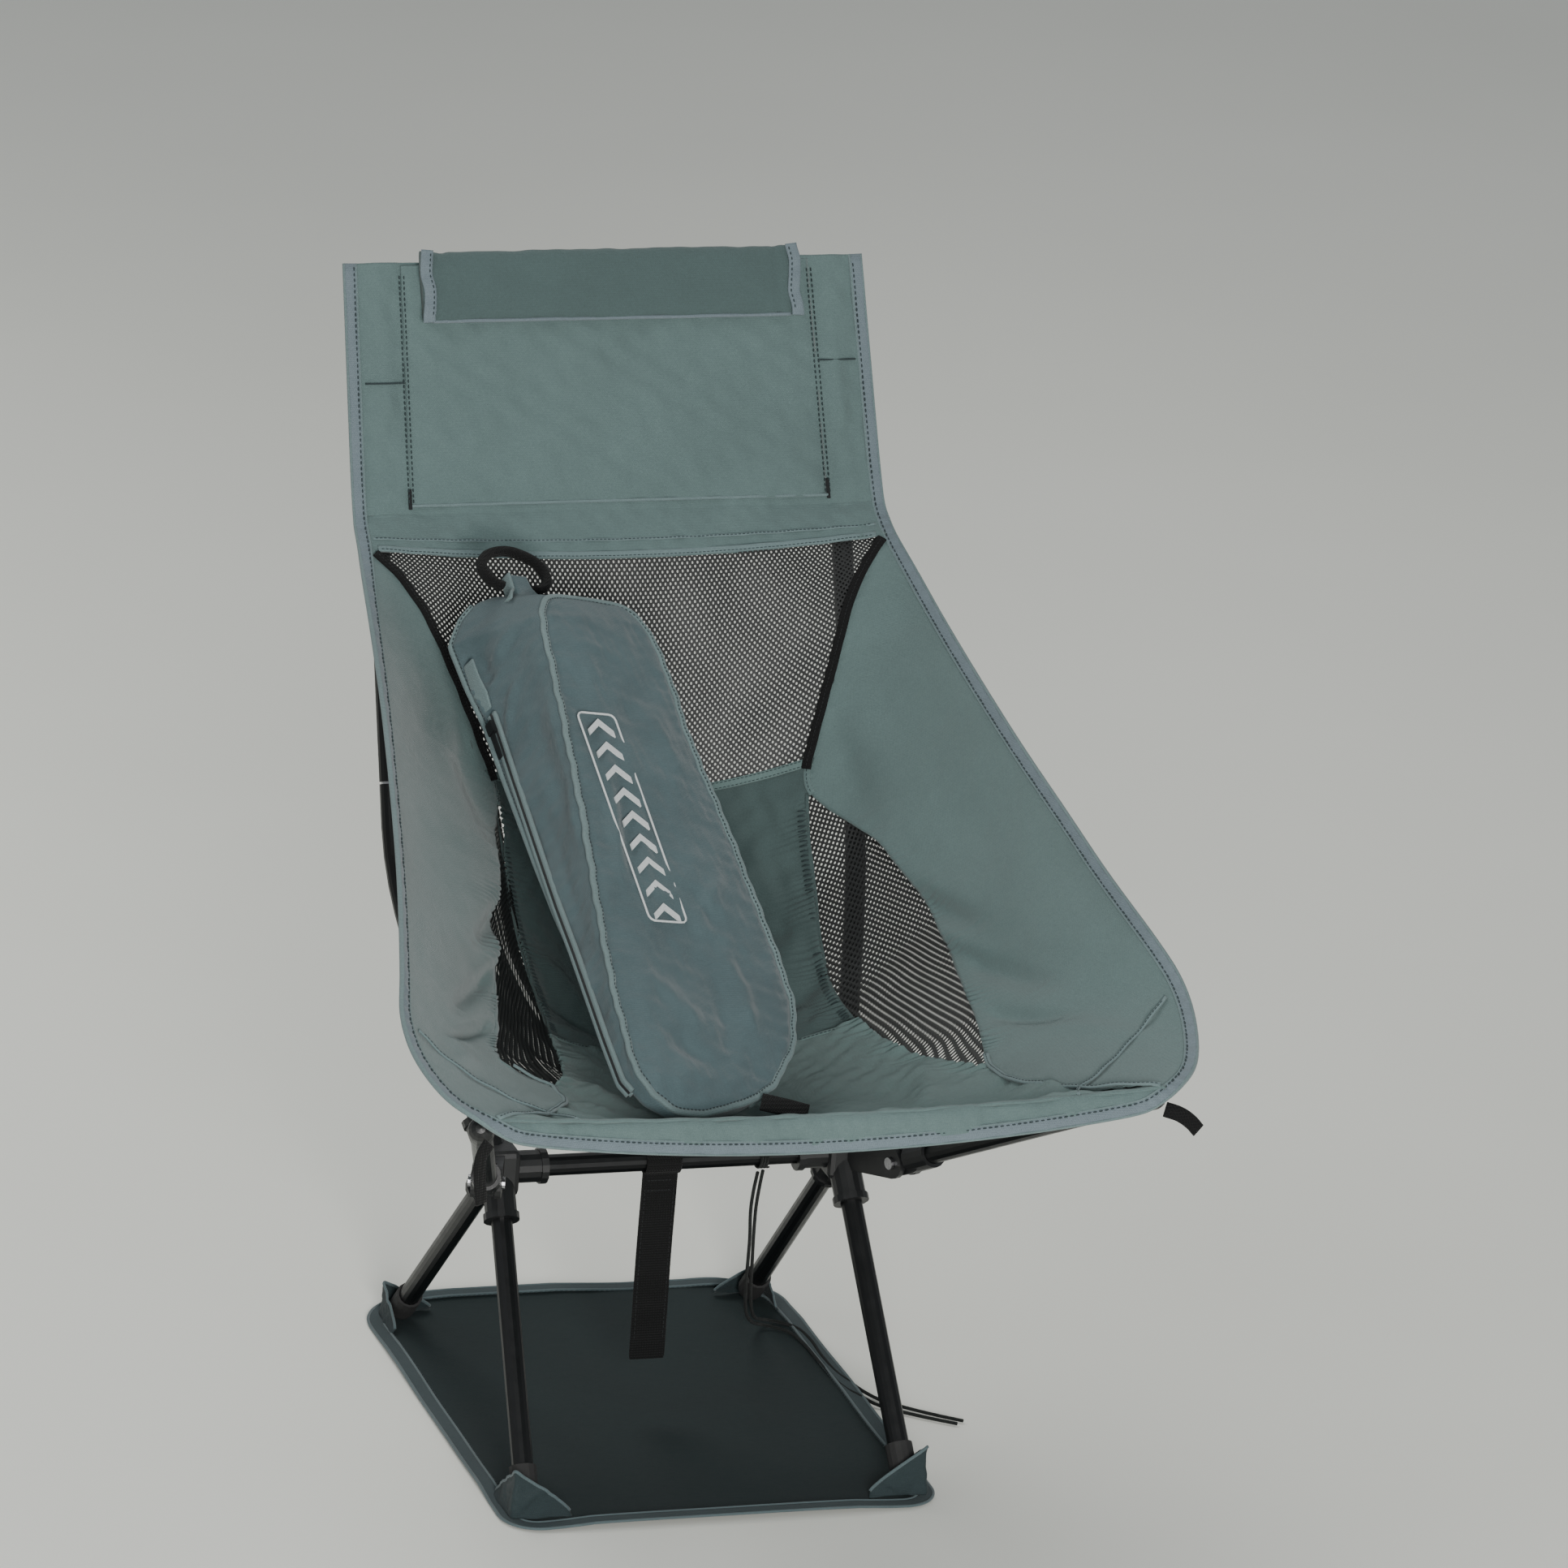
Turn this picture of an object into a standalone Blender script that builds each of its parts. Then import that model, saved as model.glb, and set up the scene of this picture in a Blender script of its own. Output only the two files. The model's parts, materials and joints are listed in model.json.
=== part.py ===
"""Folding high-back camp chair with a ground sheet and its carry bag.

A tubular frame of two moulded hubs, four legs, two short front poles and two
long rear poles holds a fabric sling.  The feet stand in the corner pockets of
a ground sheet, and the empty carry bag leans in the seat.

Frame: metres, +Z up, the sitter looks along -Y, X = 0 is the symmetry plane
and Z = 0 is the ground under the sheet.
"""
import math

import bmesh
import bpy
import numpy as np
from mathutils import Matrix, Vector

COLLECTION = "camp_chair"
GAP = 0.0003                    # clearance between pieces that touch

# Frame tubes
TUBE_RADIUS = 0.009
TUBE_WALL = 0.0012
TUBE_SIDES = 16
SOCKET_RADIUS = 0.0135
LIP_RADIUS = 0.0152
BORE_START = 0.0175             # distance from the hub centre to a bore's floor
SOCKET_LENGTH = 0.045
CAP_RADIUS = 0.0105
CAP_SKIRT = 0.020               # how far a tip cap reaches down its pole
CAP_SIDES = 14
FLOOR_THICKNESS = 0.003         # rubber between a leg's end and the cap's dome
FOOT_CAP_HEIGHT = 0.026
ELASTIC_RADIUS = 0.002
HUB_BLOCK = (0.031, 0.036, 0.040)

# Main points of the right-hand side; the left-hand side mirrors them
HUB = Vector((0.150, 0.000, 0.232))
KNUCKLE = Vector((0.180, -0.069, 0.249))
FRONT_TIP = Vector((0.280, -0.365, 0.418))
FRONT_FOOT = Vector((0.1635, -0.180, 0.0148))
REAR_FOOT = Vector((0.157, 0.222, 0.0148))
FOOT_RADIUS = 0.0115
REAR_SOCKET_DIRECTION = Vector((0.205, 0.666, 0.717)).normalized()
REAR_ELBOW = Vector((0.2035, 0.199, 0.500))
SLEEVE_DIRECTION = Vector((0.0, 0.3728, 0.9279)).normalized()
REAR_TIP_HEIGHT = 0.892

# Knuckle joint between a hub and its front pole
CHEEK_RADIUS = 0.0135
FORK_WIDTH = 0.025
SLOT_WIDTH = 0.0146
TONGUE_WIDTH = 0.0138
TONGUE_RADIUS = 0.0122
POLE_START = 0.022              # from the pin to the pole's end inside the tongue
PIN_RADIUS = 0.003
PIN_HEAD_RADIUS = 0.0052
PIN_HEAD = 0.0025

# Fabric
CLOTH = 0.0016
LIGHT_CLOTH = 0.0012
SEAM_U = 0.007                  # seam gap across the sling, as a share of half its width
SEAM_V = 0.014                  # seam gap along the sling, in stations

# Edge binding, sleeves and headrest flap of the sling
BINDING_RADIUS = 0.0028
BINDING_REACH = 0.0048          # from the cloth's edge to the middle of the binding
SLEEVE_INNER = 0.1835
SLEEVE_OUTER = 0.2205
SLEEVE_CLEAR = 0.0125           # from a pole's axis to the middle of the sleeve's cloth
FLAP_HALF_WIDTH = 0.164
FLAP_HALF_HEIGHT = 0.029
FLAP_HALF_DEPTH = 0.0055
FLAP_DROP = 0.0225              # from the sling's top edge down to the flap's middle
FLAP_AHEAD = 0.0105
POCKET_SHARE = 0.81

# Ground sheet
SHEET_HALF_WIDTH = 0.184
SHEET_FRONT = -0.214
SHEET_BACK = 0.268
SHEET_CORNER = 0.030
SHEET_THICKNESS = 0.003
POCKET_HEIGHT = {"front": 0.036, "rear": 0.025}
POCKET_REACH = {"front": 0.034, "rear": 0.029}   # how far a foot pocket runs along the sheet's edges
POCKET_CLEAR = FOOT_RADIUS + 0.0022

# Webbing
STRAP_WIDTH = 0.031
STRAP_THICKNESS = 0.0022
STRAP_X = -0.008
STRAP_END_HEIGHT = 0.052
CORD_RADIUS = 0.0015
CORD_STEP = 0.0105
KNOT_X = 0.080
KNOT_WIDTH = 0.012
TAB_WIDTH = 0.0125
TAB_THICKNESS = 0.0016
RIGHT_TAB = (
    (0.279, -0.4015, 0.4215), (0.288, -0.4045, 0.4185),
    (0.297, -0.4065, 0.4125), (0.304, -0.4075, 0.405))
RIGHT_TAB_ACROSS = (0.45, 0.30, 0.84)
LEFT_TAB = (
    (-0.287, -0.404, 0.4215), (-0.292, -0.408, 0.412),
    (-0.292, -0.409, 0.395), (-0.289, -0.408, 0.374))
LEFT_TAB_ACROSS = (0.85, 0.45, 0.25)

# The sling's stations from the front hem to the top edge.  Each gives the
# centre line's (y, z) and the right-hand rim's (x, y, z).
STATIONS = np.array((
    (-0.386, 0.400, 0.258, -0.398, 0.424),    # 0 front hem, lower edge
    (-0.378, 0.421, 0.283, -0.392, 0.437),    # 1 front hem, crest
    (-0.340, 0.396, 0.306, -0.369, 0.447),    # 2
    (-0.275, 0.376, 0.320, -0.325, 0.463),    # 3
    (-0.190, 0.357, 0.322, -0.285, 0.482),    # 4
    (-0.100, 0.343, 0.313, -0.245, 0.502),    # 5
    (-0.010, 0.338, 0.296, -0.170, 0.531),    # 6 lowest point of the seat
    (0.065, 0.362, 0.282, -0.100, 0.560),     # 7
    (0.115, 0.410, 0.268, -0.025, 0.589),     # 8
    (0.148, 0.472, 0.255, 0.050, 0.620),      # 9
    (0.167, 0.530, 0.244, 0.122, 0.650),      # 10
    (0.192, 0.605, 0.235, 0.185, 0.678),      # 11
    (0.228, 0.690, 0.228, 0.230, 0.699),      # 12 top of the back mesh
    (0.252, 0.718, 0.226, 0.258, 0.716),      # 13 bend below the upper back
    (0.349, 0.908, 0.221, 0.349, 0.908),      # 14 top edge
))
TOP = len(STATIONS) - 1
BEND = TOP - 1

# Seam lines of the right-hand side as (station, share of the half width)
OUTER_SEAM = (
    (1.05, 0.970), (2.05, 0.720), (2.55, 0.655), (3.00, 0.585), (3.70, 0.570),
    (4.90, 0.640), (5.65, 0.680), (6.40, 0.710), (7.20, 0.710), (7.90, 0.685),
    (8.50, 0.600), (8.90, 0.530), (9.20, 0.540), (9.95, 0.630), (10.50, 0.710),
    (11.10, 0.800), (11.80, 0.970),
)
INNER_SEAM = (
    (3.70, 0.570), (4.20, 0.500), (4.60, 0.470), (5.20, 0.440), (6.40, 0.435),
    (7.10, 0.460), (7.80, 0.490), (8.50, 0.510), (8.90, 0.530),
)
MESH_BOTTOM = 9.45
MESH_TOP = 11.90
SEAT_SEAM = 5.70

# Carry bag, leaning on its wide end: share of length, middle, half width, front inset,
# depth, and how far the back leans to the left and rises
BAG_BOTTOM = Vector((-0.042, -0.312, 0.408))
BAG_TOP = Vector((-0.083, 0.108, 0.717))
BAG_TURN = math.radians(20.0)
BAG_SECTIONS = (
    (-0.025, -0.062, 0.018, 0.004, 0.010, 0.000, 0.000),
    (0.000, -0.048, 0.048, 0.001, 0.018, 0.000, 0.000),
    (0.040, -0.036, 0.070, 0.000, 0.023, 0.000, 0.000),
    (0.120, -0.019, 0.086, 0.000, 0.028, 0.000, 0.000),
    (0.200, -0.011, 0.091, 0.000, 0.034, 0.000, 0.000),
    (0.300, -0.008, 0.087, 0.000, 0.046, 0.000, 0.000),
    (0.400, -0.006, 0.081, 0.000, 0.060, 0.001, 0.000),
    (0.510, -0.003, 0.0745, 0.000, 0.074, 0.002, 0.000),
    (0.690, -0.002, 0.0635, 0.000, 0.090, 0.005, 0.002),
    (0.780, 0.001, 0.061, 0.000, 0.092, 0.011, 0.008),
    (0.840, 0.002, 0.059, 0.000, 0.094, 0.019, 0.017),
    (0.900, 0.003, 0.054, 0.002, 0.090, 0.031, 0.025),
    (0.940, 0.004, 0.044, 0.005, 0.078, 0.031, 0.026),
    (0.958, -0.006, 0.030, 0.013, 0.056, 0.026, 0.026),
    (0.972, -0.018, 0.017, 0.025, 0.034, 0.014, 0.020),
    (0.988, -0.0265, 0.0108, 0.034, 0.018, 0.003, 0.006),
    (1.004, -0.029, 0.0095, 0.036, 0.013, 0.000, 0.000),
    (1.026, -0.030, 0.0090, 0.0365, 0.012, 0.000, 0.000),
)
ZIP_SHARES = (0.14, 0.78)       # where the zip starts and ends along the bag
ZIP_INWARD = 0.80               # share of the bag's depth
ZIP_LIFT = 0.0045
ZIP_SIZE = (0.009, 0.003)
HANDLE_RADIUS = 0.0042
HANDLE_PIVOT = (1.008, -0.029, 0.042)       # share of the length, across, in from the front
HANDLE_LOOP = (                 # (across, beyond the pivot) on the right half
    (0.0165, 0.0), (0.0280, 0.006), (0.0320, 0.018), (0.0240, 0.031), (0.0, 0.038),
)


def mirrored(point, side):
    """The point, or its mirror image in X = 0 when side is -1."""
    return Vector((point[0] * side, point[1], point[2]))


# ------------------------------------------------------------------ scene set-up
def clear_scene():
    for thing in list(bpy.data.objects):
        bpy.data.objects.remove(thing, do_unlink=True)


def new_collection(name):
    group = bpy.data.collections.new(name)
    bpy.context.scene.collection.children.link(group)
    return group


clear_scene()
PARTS = new_collection(COLLECTION)
CUTTERS = new_collection("cutters")


def make_material(name, color, roughness, metallic=0.0):
    made = bpy.data.materials.new(name)
    made.use_nodes = True
    shader = made.node_tree.nodes["Principled BSDF"]
    shader.inputs["Base Color"].default_value = (*color, 1.0)
    shader.inputs["Roughness"].default_value = roughness
    shader.inputs["Metallic"].default_value = metallic
    return made


TUBE_BLACK = make_material("black_tube", (0.012, 0.012, 0.014), 0.35, 0.6)
PLASTIC = make_material("black_plastic", (0.010, 0.010, 0.012), 0.45)
RUBBER = make_material("foot_rubber", (0.015, 0.015, 0.015), 0.80)
STEEL = make_material("pin_steel", (0.45, 0.45, 0.47), 0.30, 1.0)
ELASTIC = make_material("shock_cord", (0.02, 0.02, 0.02), 0.85)
FABRIC = make_material("sling_fabric", (0.155, 0.230, 0.225), 0.80)
LINING = make_material("seat_fabric", (0.095, 0.145, 0.140), 0.85)
BINDING = make_material("edge_binding", (0.220, 0.300, 0.320), 0.75)
MESH = make_material("black_mesh", (0.015, 0.016, 0.016), 0.85)
SHEET = make_material("sheet_fabric", (0.028, 0.045, 0.045), 0.80)
WEBBING = make_material("black_webbing", (0.012, 0.012, 0.012), 0.85)
BAG = make_material("bag_fabric", (0.085, 0.125, 0.130), 0.80)
CORD = make_material("black_cord", (0.012, 0.013, 0.012), 0.85)


def name_part(thing, name, material, smooth=None):
    """Put a finished solid among the parts; smooth is the sharp-edge angle in degrees."""
    thing.name = name
    thing.data.name = name
    thing.data.materials.clear()
    thing.data.materials.append(material)
    for group in list(thing.users_collection):
        group.objects.unlink(thing)
    PARTS.objects.link(thing)
    if smooth is not None:
        thing.data.shade_smooth()
        thing.data.set_sharp_from_angle(angle=math.radians(smooth))
    return thing


def as_cutter(thing):
    for group in list(thing.users_collection):
        group.objects.unlink(thing)
    CUTTERS.objects.link(thing)
    thing.hide_render = True
    thing.display_type = "WIRE"
    return thing


def combine(thing, other, operation):
    step = thing.modifiers.new(operation.lower(), "BOOLEAN")
    step.operation = operation
    step.solver = "EXACT"
    step.object = as_cutter(other)


# ------------------------------------------------------------------ basic solids
def mesh_object(name, cage):
    data = bpy.data.meshes.new(name)
    cage.to_mesh(data)
    cage.free()
    thing = bpy.data.objects.new(name, data)
    bpy.context.scene.collection.objects.link(thing)
    return thing


def along(start, direction):
    """A frame at start with its Z axis along direction."""
    turn = Vector(direction).to_track_quat("Z", "Y")
    return Matrix.Translation(start) @ turn.to_matrix().to_4x4()


def rod(start, end, radius, sides=TUBE_SIDES):
    """A plain cylinder from start to end."""
    start = Vector(start)
    end = Vector(end)
    cage = bmesh.new()
    bmesh.ops.create_cone(
        cage, cap_ends=True, segments=sides, radius1=radius, radius2=radius,
        depth=(end - start).length)
    thing = mesh_object("rod", cage)
    thing.matrix_world = along((start + end) / 2, end - start)
    return thing


def turned(profile, start, direction, sides=TUBE_SIDES, closed=False):
    """A profile of (radius, height) points, outer side top to bottom, turned about its axis."""
    cage = bmesh.new()
    corners = [cage.verts.new((radius, 0.0, height)) for radius, height in profile]
    for first, second in zip(corners[:-1], corners[1:]):
        cage.edges.new((first, second))
    if closed:
        cage.edges.new((corners[-1], corners[0]))
    thing = mesh_object("turned", cage)
    turn = thing.modifiers.new("turn", "SCREW")
    turn.steps = sides
    turn.render_steps = sides
    turn.use_merge_vertices = True
    turn.merge_threshold = 0.00005
    thing.matrix_world = along(start, direction)
    return thing


def tube(start, end):
    """An open-ended round tube from start to end."""
    start = Vector(start)
    end = Vector(end)
    length = (end - start).length
    inner = TUBE_RADIUS - TUBE_WALL
    profile = ((TUBE_RADIUS, length), (TUBE_RADIUS, 0.0), (inner, 0.0), (inner, length))
    return turned(profile, start, end - start, closed=True)


def curve_rod(points, radius, resolution, capped=True):
    """A bent rod along the points, as a bevelled poly curve."""
    data = bpy.data.curves.new("route", "CURVE")
    data.dimensions = "3D"
    data.bevel_depth = radius
    data.bevel_resolution = resolution
    data.use_fill_caps = capped
    spline = data.splines.new("POLY")
    spline.points.add(len(points) - 1)
    for target, point in zip(spline.points, points):
        target.co = (*point, 1.0)
    thing = bpy.data.objects.new("route", data)
    bpy.context.scene.collection.objects.link(thing)
    return thing


def block(centre, size, frame=None):
    """A box of the given size about centre, turned by frame."""
    cage = bmesh.new()
    bmesh.ops.create_cube(cage, size=1.0)
    bmesh.ops.scale(cage, vec=size, verts=cage.verts)
    thing = mesh_object("block", cage)
    turn = frame.to_4x4() if frame else Matrix()
    thing.matrix_world = Matrix.Translation(centre) @ turn
    return thing


def lofted(rings):
    """A closed solid through rings of equally many points."""
    cage = bmesh.new()
    loops = [[cage.verts.new(point) for point in ring] for ring in rings]
    count = len(loops[0])
    for lower, upper in zip(loops[:-1], loops[1:]):
        for index in range(count):
            after = (index + 1) % count
            cage.faces.new((lower[index], lower[after], upper[after], upper[index]))
    cage.faces.new(list(reversed(loops[0])))
    cage.faces.new(loops[-1])
    bmesh.ops.recalc_face_normals(cage, faces=cage.faces)
    return mesh_object("loft", cage)


def shell(grid, thickness):
    """A thin closed sheet about a grid of points."""
    cage = bmesh.new()
    rows = [[cage.verts.new(point) for point in row] for row in grid]
    for near, far in zip(rows[:-1], rows[1:]):
        for index in range(len(near) - 1):
            cage.faces.new((near[index], near[index + 1], far[index + 1], far[index]))
    thing = mesh_object("shell", cage)
    skin = thing.modifiers.new("thickness", "SOLIDIFY")
    skin.thickness = thickness
    skin.offset = 0.0
    skin.use_even_offset = True
    return thing


def hermite(start, start_pull, end, end_pull, count):
    """Points of a cubic from start to end with the given end tangents."""
    points = []
    for step in np.linspace(0.0, 1.0, count):
        square = step * step
        cube = square * step
        points.append(
            start * (2 * cube - 3 * square + 1) + start_pull * (cube - 2 * square + step)
            + end * (3 * square - 2 * cube) + end_pull * (cube - square))
    return points


def smooth_route(points, spacing):
    """A Catmull-Rom curve through the points, sampled about every spacing."""
    points = [Vector(point) for point in points]
    padded = [2 * points[0] - points[1], *points, 2 * points[-1] - points[-2]]
    route = []
    for before, start, end, after in zip(padded, padded[1:], padded[2:], padded[3:]):
        count = max(2, round((end - start).length / spacing) + 1)
        route += hermite(start, (end - before) / 2, end, (after - start) / 2, count)[:-1]
    route.append(points[-1])
    return route


# ------------------------------------------------------------------ frame
def knuckle_axis(side):
    """The hinge axis of a front pole, level and square to the pole; positive swings it down."""
    pole = FRONT_TIP - KNUCKLE
    axis = Vector((-pole.y, pole.x, 0.0)).normalized()
    return Vector((axis.x, axis.y * side, 0.0))


def capsule(start, end, radius, width, axis, arc=8):
    """A flat bar with round ends about start and end, of the given width along axis."""
    start = Vector(start)
    end = Vector(end)
    forward = (end - start).normalized()
    upward = axis.cross(forward)
    outline = []
    for centre, first in ((end, -0.5 * math.pi), (start, 0.5 * math.pi)):
        for step in range(arc + 1):
            angle = first + math.pi * step / arc
            outline.append(centre + radius * (math.cos(angle) * forward + math.sin(angle) * upward))
    half = axis * (width / 2)
    return lofted([[point - half for point in outline], [point + half for point in outline]])


def make_hub(side, label):
    hub = mirrored(HUB, side)
    knuckle = mirrored(KNUCKLE, side)
    axis = knuckle_axis(side)
    inward = Vector((-side, 0.0, 0.0))
    sockets = (
        (inward, SOCKET_LENGTH - 0.005),
        ((mirrored(FRONT_FOOT, side) - hub).normalized(), SOCKET_LENGTH),
        ((mirrored(REAR_FOOT, side) - hub).normalized(), SOCKET_LENGTH),
        (mirrored(REAR_SOCKET_DIRECTION, side), SOCKET_LENGTH),
    )
    body = block(hub, HUB_BLOCK)
    edge = body.modifiers.new("rounding", "BEVEL")
    edge.width = 0.005
    edge.segments = 2
    for direction, length in sockets:
        combine(body, rod(hub + direction * 0.004, hub + direction * length, SOCKET_RADIUS), "UNION")
        lip = rod(hub + direction * (length - 0.005), hub + direction * (length + 0.001), LIP_RADIUS)
        combine(body, lip, "UNION")
    level = Vector((knuckle - hub)) - axis * (knuckle - hub).dot(axis)
    root = knuckle - level
    combine(body, capsule(root, knuckle, CHEEK_RADIUS, FORK_WIDTH, axis), "UNION")
    forward = level.normalized()
    frame = Matrix((axis, forward, axis.cross(forward))).transposed()
    slot = block(knuckle + forward * 0.010, (SLOT_WIDTH, 0.054, 0.060), frame)
    combine(body, slot, "DIFFERENCE")
    pin = axis * FORK_WIDTH
    combine(body, rod(knuckle - pin, knuckle + pin, PIN_RADIUS + GAP, 12), "DIFFERENCE")
    for direction, length in sockets:
        start = hub + direction * (BORE_START - GAP)
        bore = rod(start, hub + direction * (length + 0.010), TUBE_RADIUS + GAP)
        combine(body, bore, "DIFFERENCE")
    for direction, _ in sockets[1:3]:
        channel = rod(hub - direction * 0.005, hub + direction * 0.025, ELASTIC_RADIUS + 2 * GAP, 10)
        combine(body, channel, "DIFFERENCE")
    name_part(body, "hub_" + label, PLASTIC, 35)


def make_leg(side, label, foot, place):
    """A leg tube and the rubber cap under it."""
    hub = mirrored(HUB, side)
    foot = mirrored(foot, side)
    down = (foot - hub).normalized()
    lower_end = foot - down * FLOOR_THICKNESS
    leg = tube(hub + down * BORE_START, lower_end)
    name_part(leg, f"{place}_leg_{label}", TUBE_BLACK, 35)
    bore = TUBE_RADIUS + GAP
    floor = FLOOR_THICKNESS - GAP
    profile = [(bore, FOOT_CAP_HEIGHT), (FOOT_RADIUS, FOOT_CAP_HEIGHT), (FOOT_RADIUS, 0.0)]
    for step in range(1, 4):
        angle = 0.5 * math.pi * step / 4
        profile.append((FOOT_RADIUS * math.cos(angle), -FOOT_RADIUS * math.sin(angle)))
    profile += [(0.0, -FOOT_RADIUS), (0.0, floor), (bore, floor)]
    cap = turned(profile, foot, -down, sides=CAP_SIDES, closed=True)
    name_part(cap, f"foot_cap_{place}_{label}", RUBBER, 50)


def make_shock_cord(side, label):
    """The elastic cord that runs inside the front leg, through the hub and inside the rear leg."""
    hub = mirrored(HUB, side)
    ends = []
    for foot in (FRONT_FOOT, REAR_FOOT):
        foot = mirrored(foot, side)
        ends.append(foot + (hub - foot).normalized() * (FLOOR_THICKNESS + GAP))
    name_part(curve_rod([ends[0], hub, ends[1]], ELASTIC_RADIUS, 2), "shock_cord_" + label, ELASTIC)


def make_front_pole(side, label):
    knuckle = mirrored(KNUCKLE, side)
    tip = mirrored(FRONT_TIP, side)
    axis = knuckle_axis(side)
    out = (tip - knuckle).normalized()
    tongue = capsule(knuckle, knuckle + out * 0.020, TONGUE_RADIUS, TONGUE_WIDTH, axis)
    collar = rod(knuckle + out * 0.0155, knuckle + out * SOCKET_LENGTH, TONGUE_RADIUS + GAP)
    combine(tongue, collar, "UNION")
    pin_reach = axis * FORK_WIDTH
    combine(tongue, rod(knuckle - pin_reach, knuckle + pin_reach, PIN_RADIUS + GAP, 12), "DIFFERENCE")
    bore_start = knuckle + out * (POLE_START - GAP)
    bore = rod(bore_start, bore_start + out * SOCKET_LENGTH, TUBE_RADIUS + GAP)
    combine(tongue, bore, "DIFFERENCE")
    name_part(tongue, "front_knuckle_" + label, PLASTIC, 35)
    pole = tube(knuckle + out * POLE_START, tip - out * 0.004)
    name_part(pole, "front_pole_" + label, TUBE_BLACK, 35)
    make_tip(tip, out, "front_pole_tip_" + label)
    inside = FORK_WIDTH / 2 + GAP
    outside = inside + PIN_HEAD
    profile = (
        (0.0, outside), (PIN_HEAD_RADIUS, outside), (PIN_HEAD_RADIUS, inside), (PIN_RADIUS, inside),
        (PIN_RADIUS, -inside), (PIN_HEAD_RADIUS, -inside), (PIN_HEAD_RADIUS, -outside), (0.0, -outside))
    pin = turned(profile, knuckle, axis, sides=12)
    name_part(pin, "knuckle_pin_" + label, STEEL, 35)


def make_tip(centre, direction, name):
    """A rounded plug over a pole's far end."""
    bore = TUBE_RADIUS + GAP
    profile = [(0.0, CAP_RADIUS)]
    for step in range(3, -1, -1):
        angle = 0.5 * math.pi * step / 4
        profile.append((CAP_RADIUS * math.cos(angle), CAP_RADIUS * math.sin(angle)))
    profile += [(CAP_RADIUS, -CAP_SKIRT), (bore, -CAP_SKIRT), (bore, GAP - 0.004), (0.0, GAP - 0.004)]
    cap = turned(profile, centre, direction, sides=CAP_SIDES)
    name_part(cap, name, PLASTIC, 50)


def rear_pole_route(side):
    """Centre line of the lower rear pole: straight out of the hub, then a long bend."""
    start = HUB + REAR_SOCKET_DIRECTION * BORE_START
    bend_start = HUB + REAR_SOCKET_DIRECTION * 0.060
    bend_end = REAR_ELBOW - SLEEVE_DIRECTION * 0.036
    reach = (bend_end - bend_start).length
    points = [start]
    points += hermite(
        bend_start, REAR_SOCKET_DIRECTION * reach, bend_end, SLEEVE_DIRECTION * reach, 11)
    points.append(REAR_ELBOW)
    return [mirrored(point, side) for point in points]


def make_rear_pole(side, label):
    elbow = mirrored(REAR_ELBOW, side)
    tip_reach = (REAR_TIP_HEIGHT - REAR_ELBOW.z) / SLEEVE_DIRECTION.z
    tip = elbow + SLEEVE_DIRECTION * tip_reach
    route = rear_pole_route(side)
    lower = curve_rod(route, TUBE_RADIUS, 6, capped=False)
    wall = lower.modifiers.new("wall", "SOLIDIFY")
    wall.thickness = TUBE_WALL
    wall.offset = -1.0
    data = bpy.data.meshes.new_from_object(
        lower.evaluated_get(bpy.context.evaluated_depsgraph_get()))
    bpy.data.objects.remove(lower, do_unlink=True)
    bent = bpy.data.objects.new("bent", data)
    bpy.context.scene.collection.objects.link(bent)
    name_part(bent, "rear_pole_lower_" + label, TUBE_BLACK, 35)
    upper = tube(elbow + SLEEVE_DIRECTION * 0.002, tip - SLEEVE_DIRECTION * 0.004)
    name_part(upper, "rear_pole_upper_" + label, TUBE_BLACK, 35)
    inner = TUBE_RADIUS - TUBE_WALL - GAP
    hollow = inner - 0.0015
    profile = ((inner, 0.045), (inner, -0.030), (hollow, -0.030), (hollow, 0.045))
    ferrule = turned(profile, elbow, SLEEVE_DIRECTION, sides=16, closed=True)
    name_part(ferrule, "pole_ferrule_" + label, STEEL, 35)
    make_tip(tip, SLEEVE_DIRECTION, "rear_pole_tip_" + label)


def make_frame():
    reach = HUB.x - BORE_START
    bar = tube((-reach, 0.0, HUB.z), (reach, 0.0, HUB.z))
    name_part(bar, "crossbar", TUBE_BLACK, 35)
    for side, label in ((1, "right"), (-1, "left")):
        make_hub(side, label)
        make_leg(side, label, FRONT_FOOT, "front")
        make_leg(side, label, REAR_FOOT, "rear")
        make_shock_cord(side, label)
        make_front_pole(side, label)
        make_rear_pole(side, label)


# ------------------------------------------------------------------ sling
def station(value):
    """The stations' numbers at a place between them, on a smooth curve below the bend."""
    index = min(int(value), TOP - 1)
    share = value - index
    start = STATIONS[index]
    end = STATIONS[index + 1]
    if index >= BEND - 1:
        return start + (end - start) * share
    before = STATIONS[max(index - 1, 0)]
    after = STATIONS[index + 2]
    square = share * share
    cube = square * share
    return (
        start * (2 * cube - 3 * square + 1) + (end - before) / 2 * (cube - 2 * square + share)
        + end * (3 * square - 2 * cube) + (after - start) / 2 * (cube - square))


def sling_point(across, value):
    """A point of the sling: across runs from -1 at the left rim to 1 at the right rim."""
    centre_y, centre_z, rim_x, rim_y, rim_z = station(value)
    rise = across * across
    return np.array((
        rim_x * across, centre_y + (rim_y - centre_y) * rise, centre_z + (rim_z - centre_z) * rise))


def sling_normal(across, value):
    """The unit normal on the sitter's side of the sling."""
    step = 0.01
    sideways = sling_point(across + step, value) - sling_point(across - step, value)
    high = min(value + step, TOP)
    low = max(value - step, 0.0)
    lengthways = sling_point(across, high) - sling_point(across, low)
    normal = np.cross(sideways, lengthways)
    return normal / np.linalg.norm(normal)


def seam(line, value):
    places, shares = zip(*line)
    return float(np.interp(value, places, shares))


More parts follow.
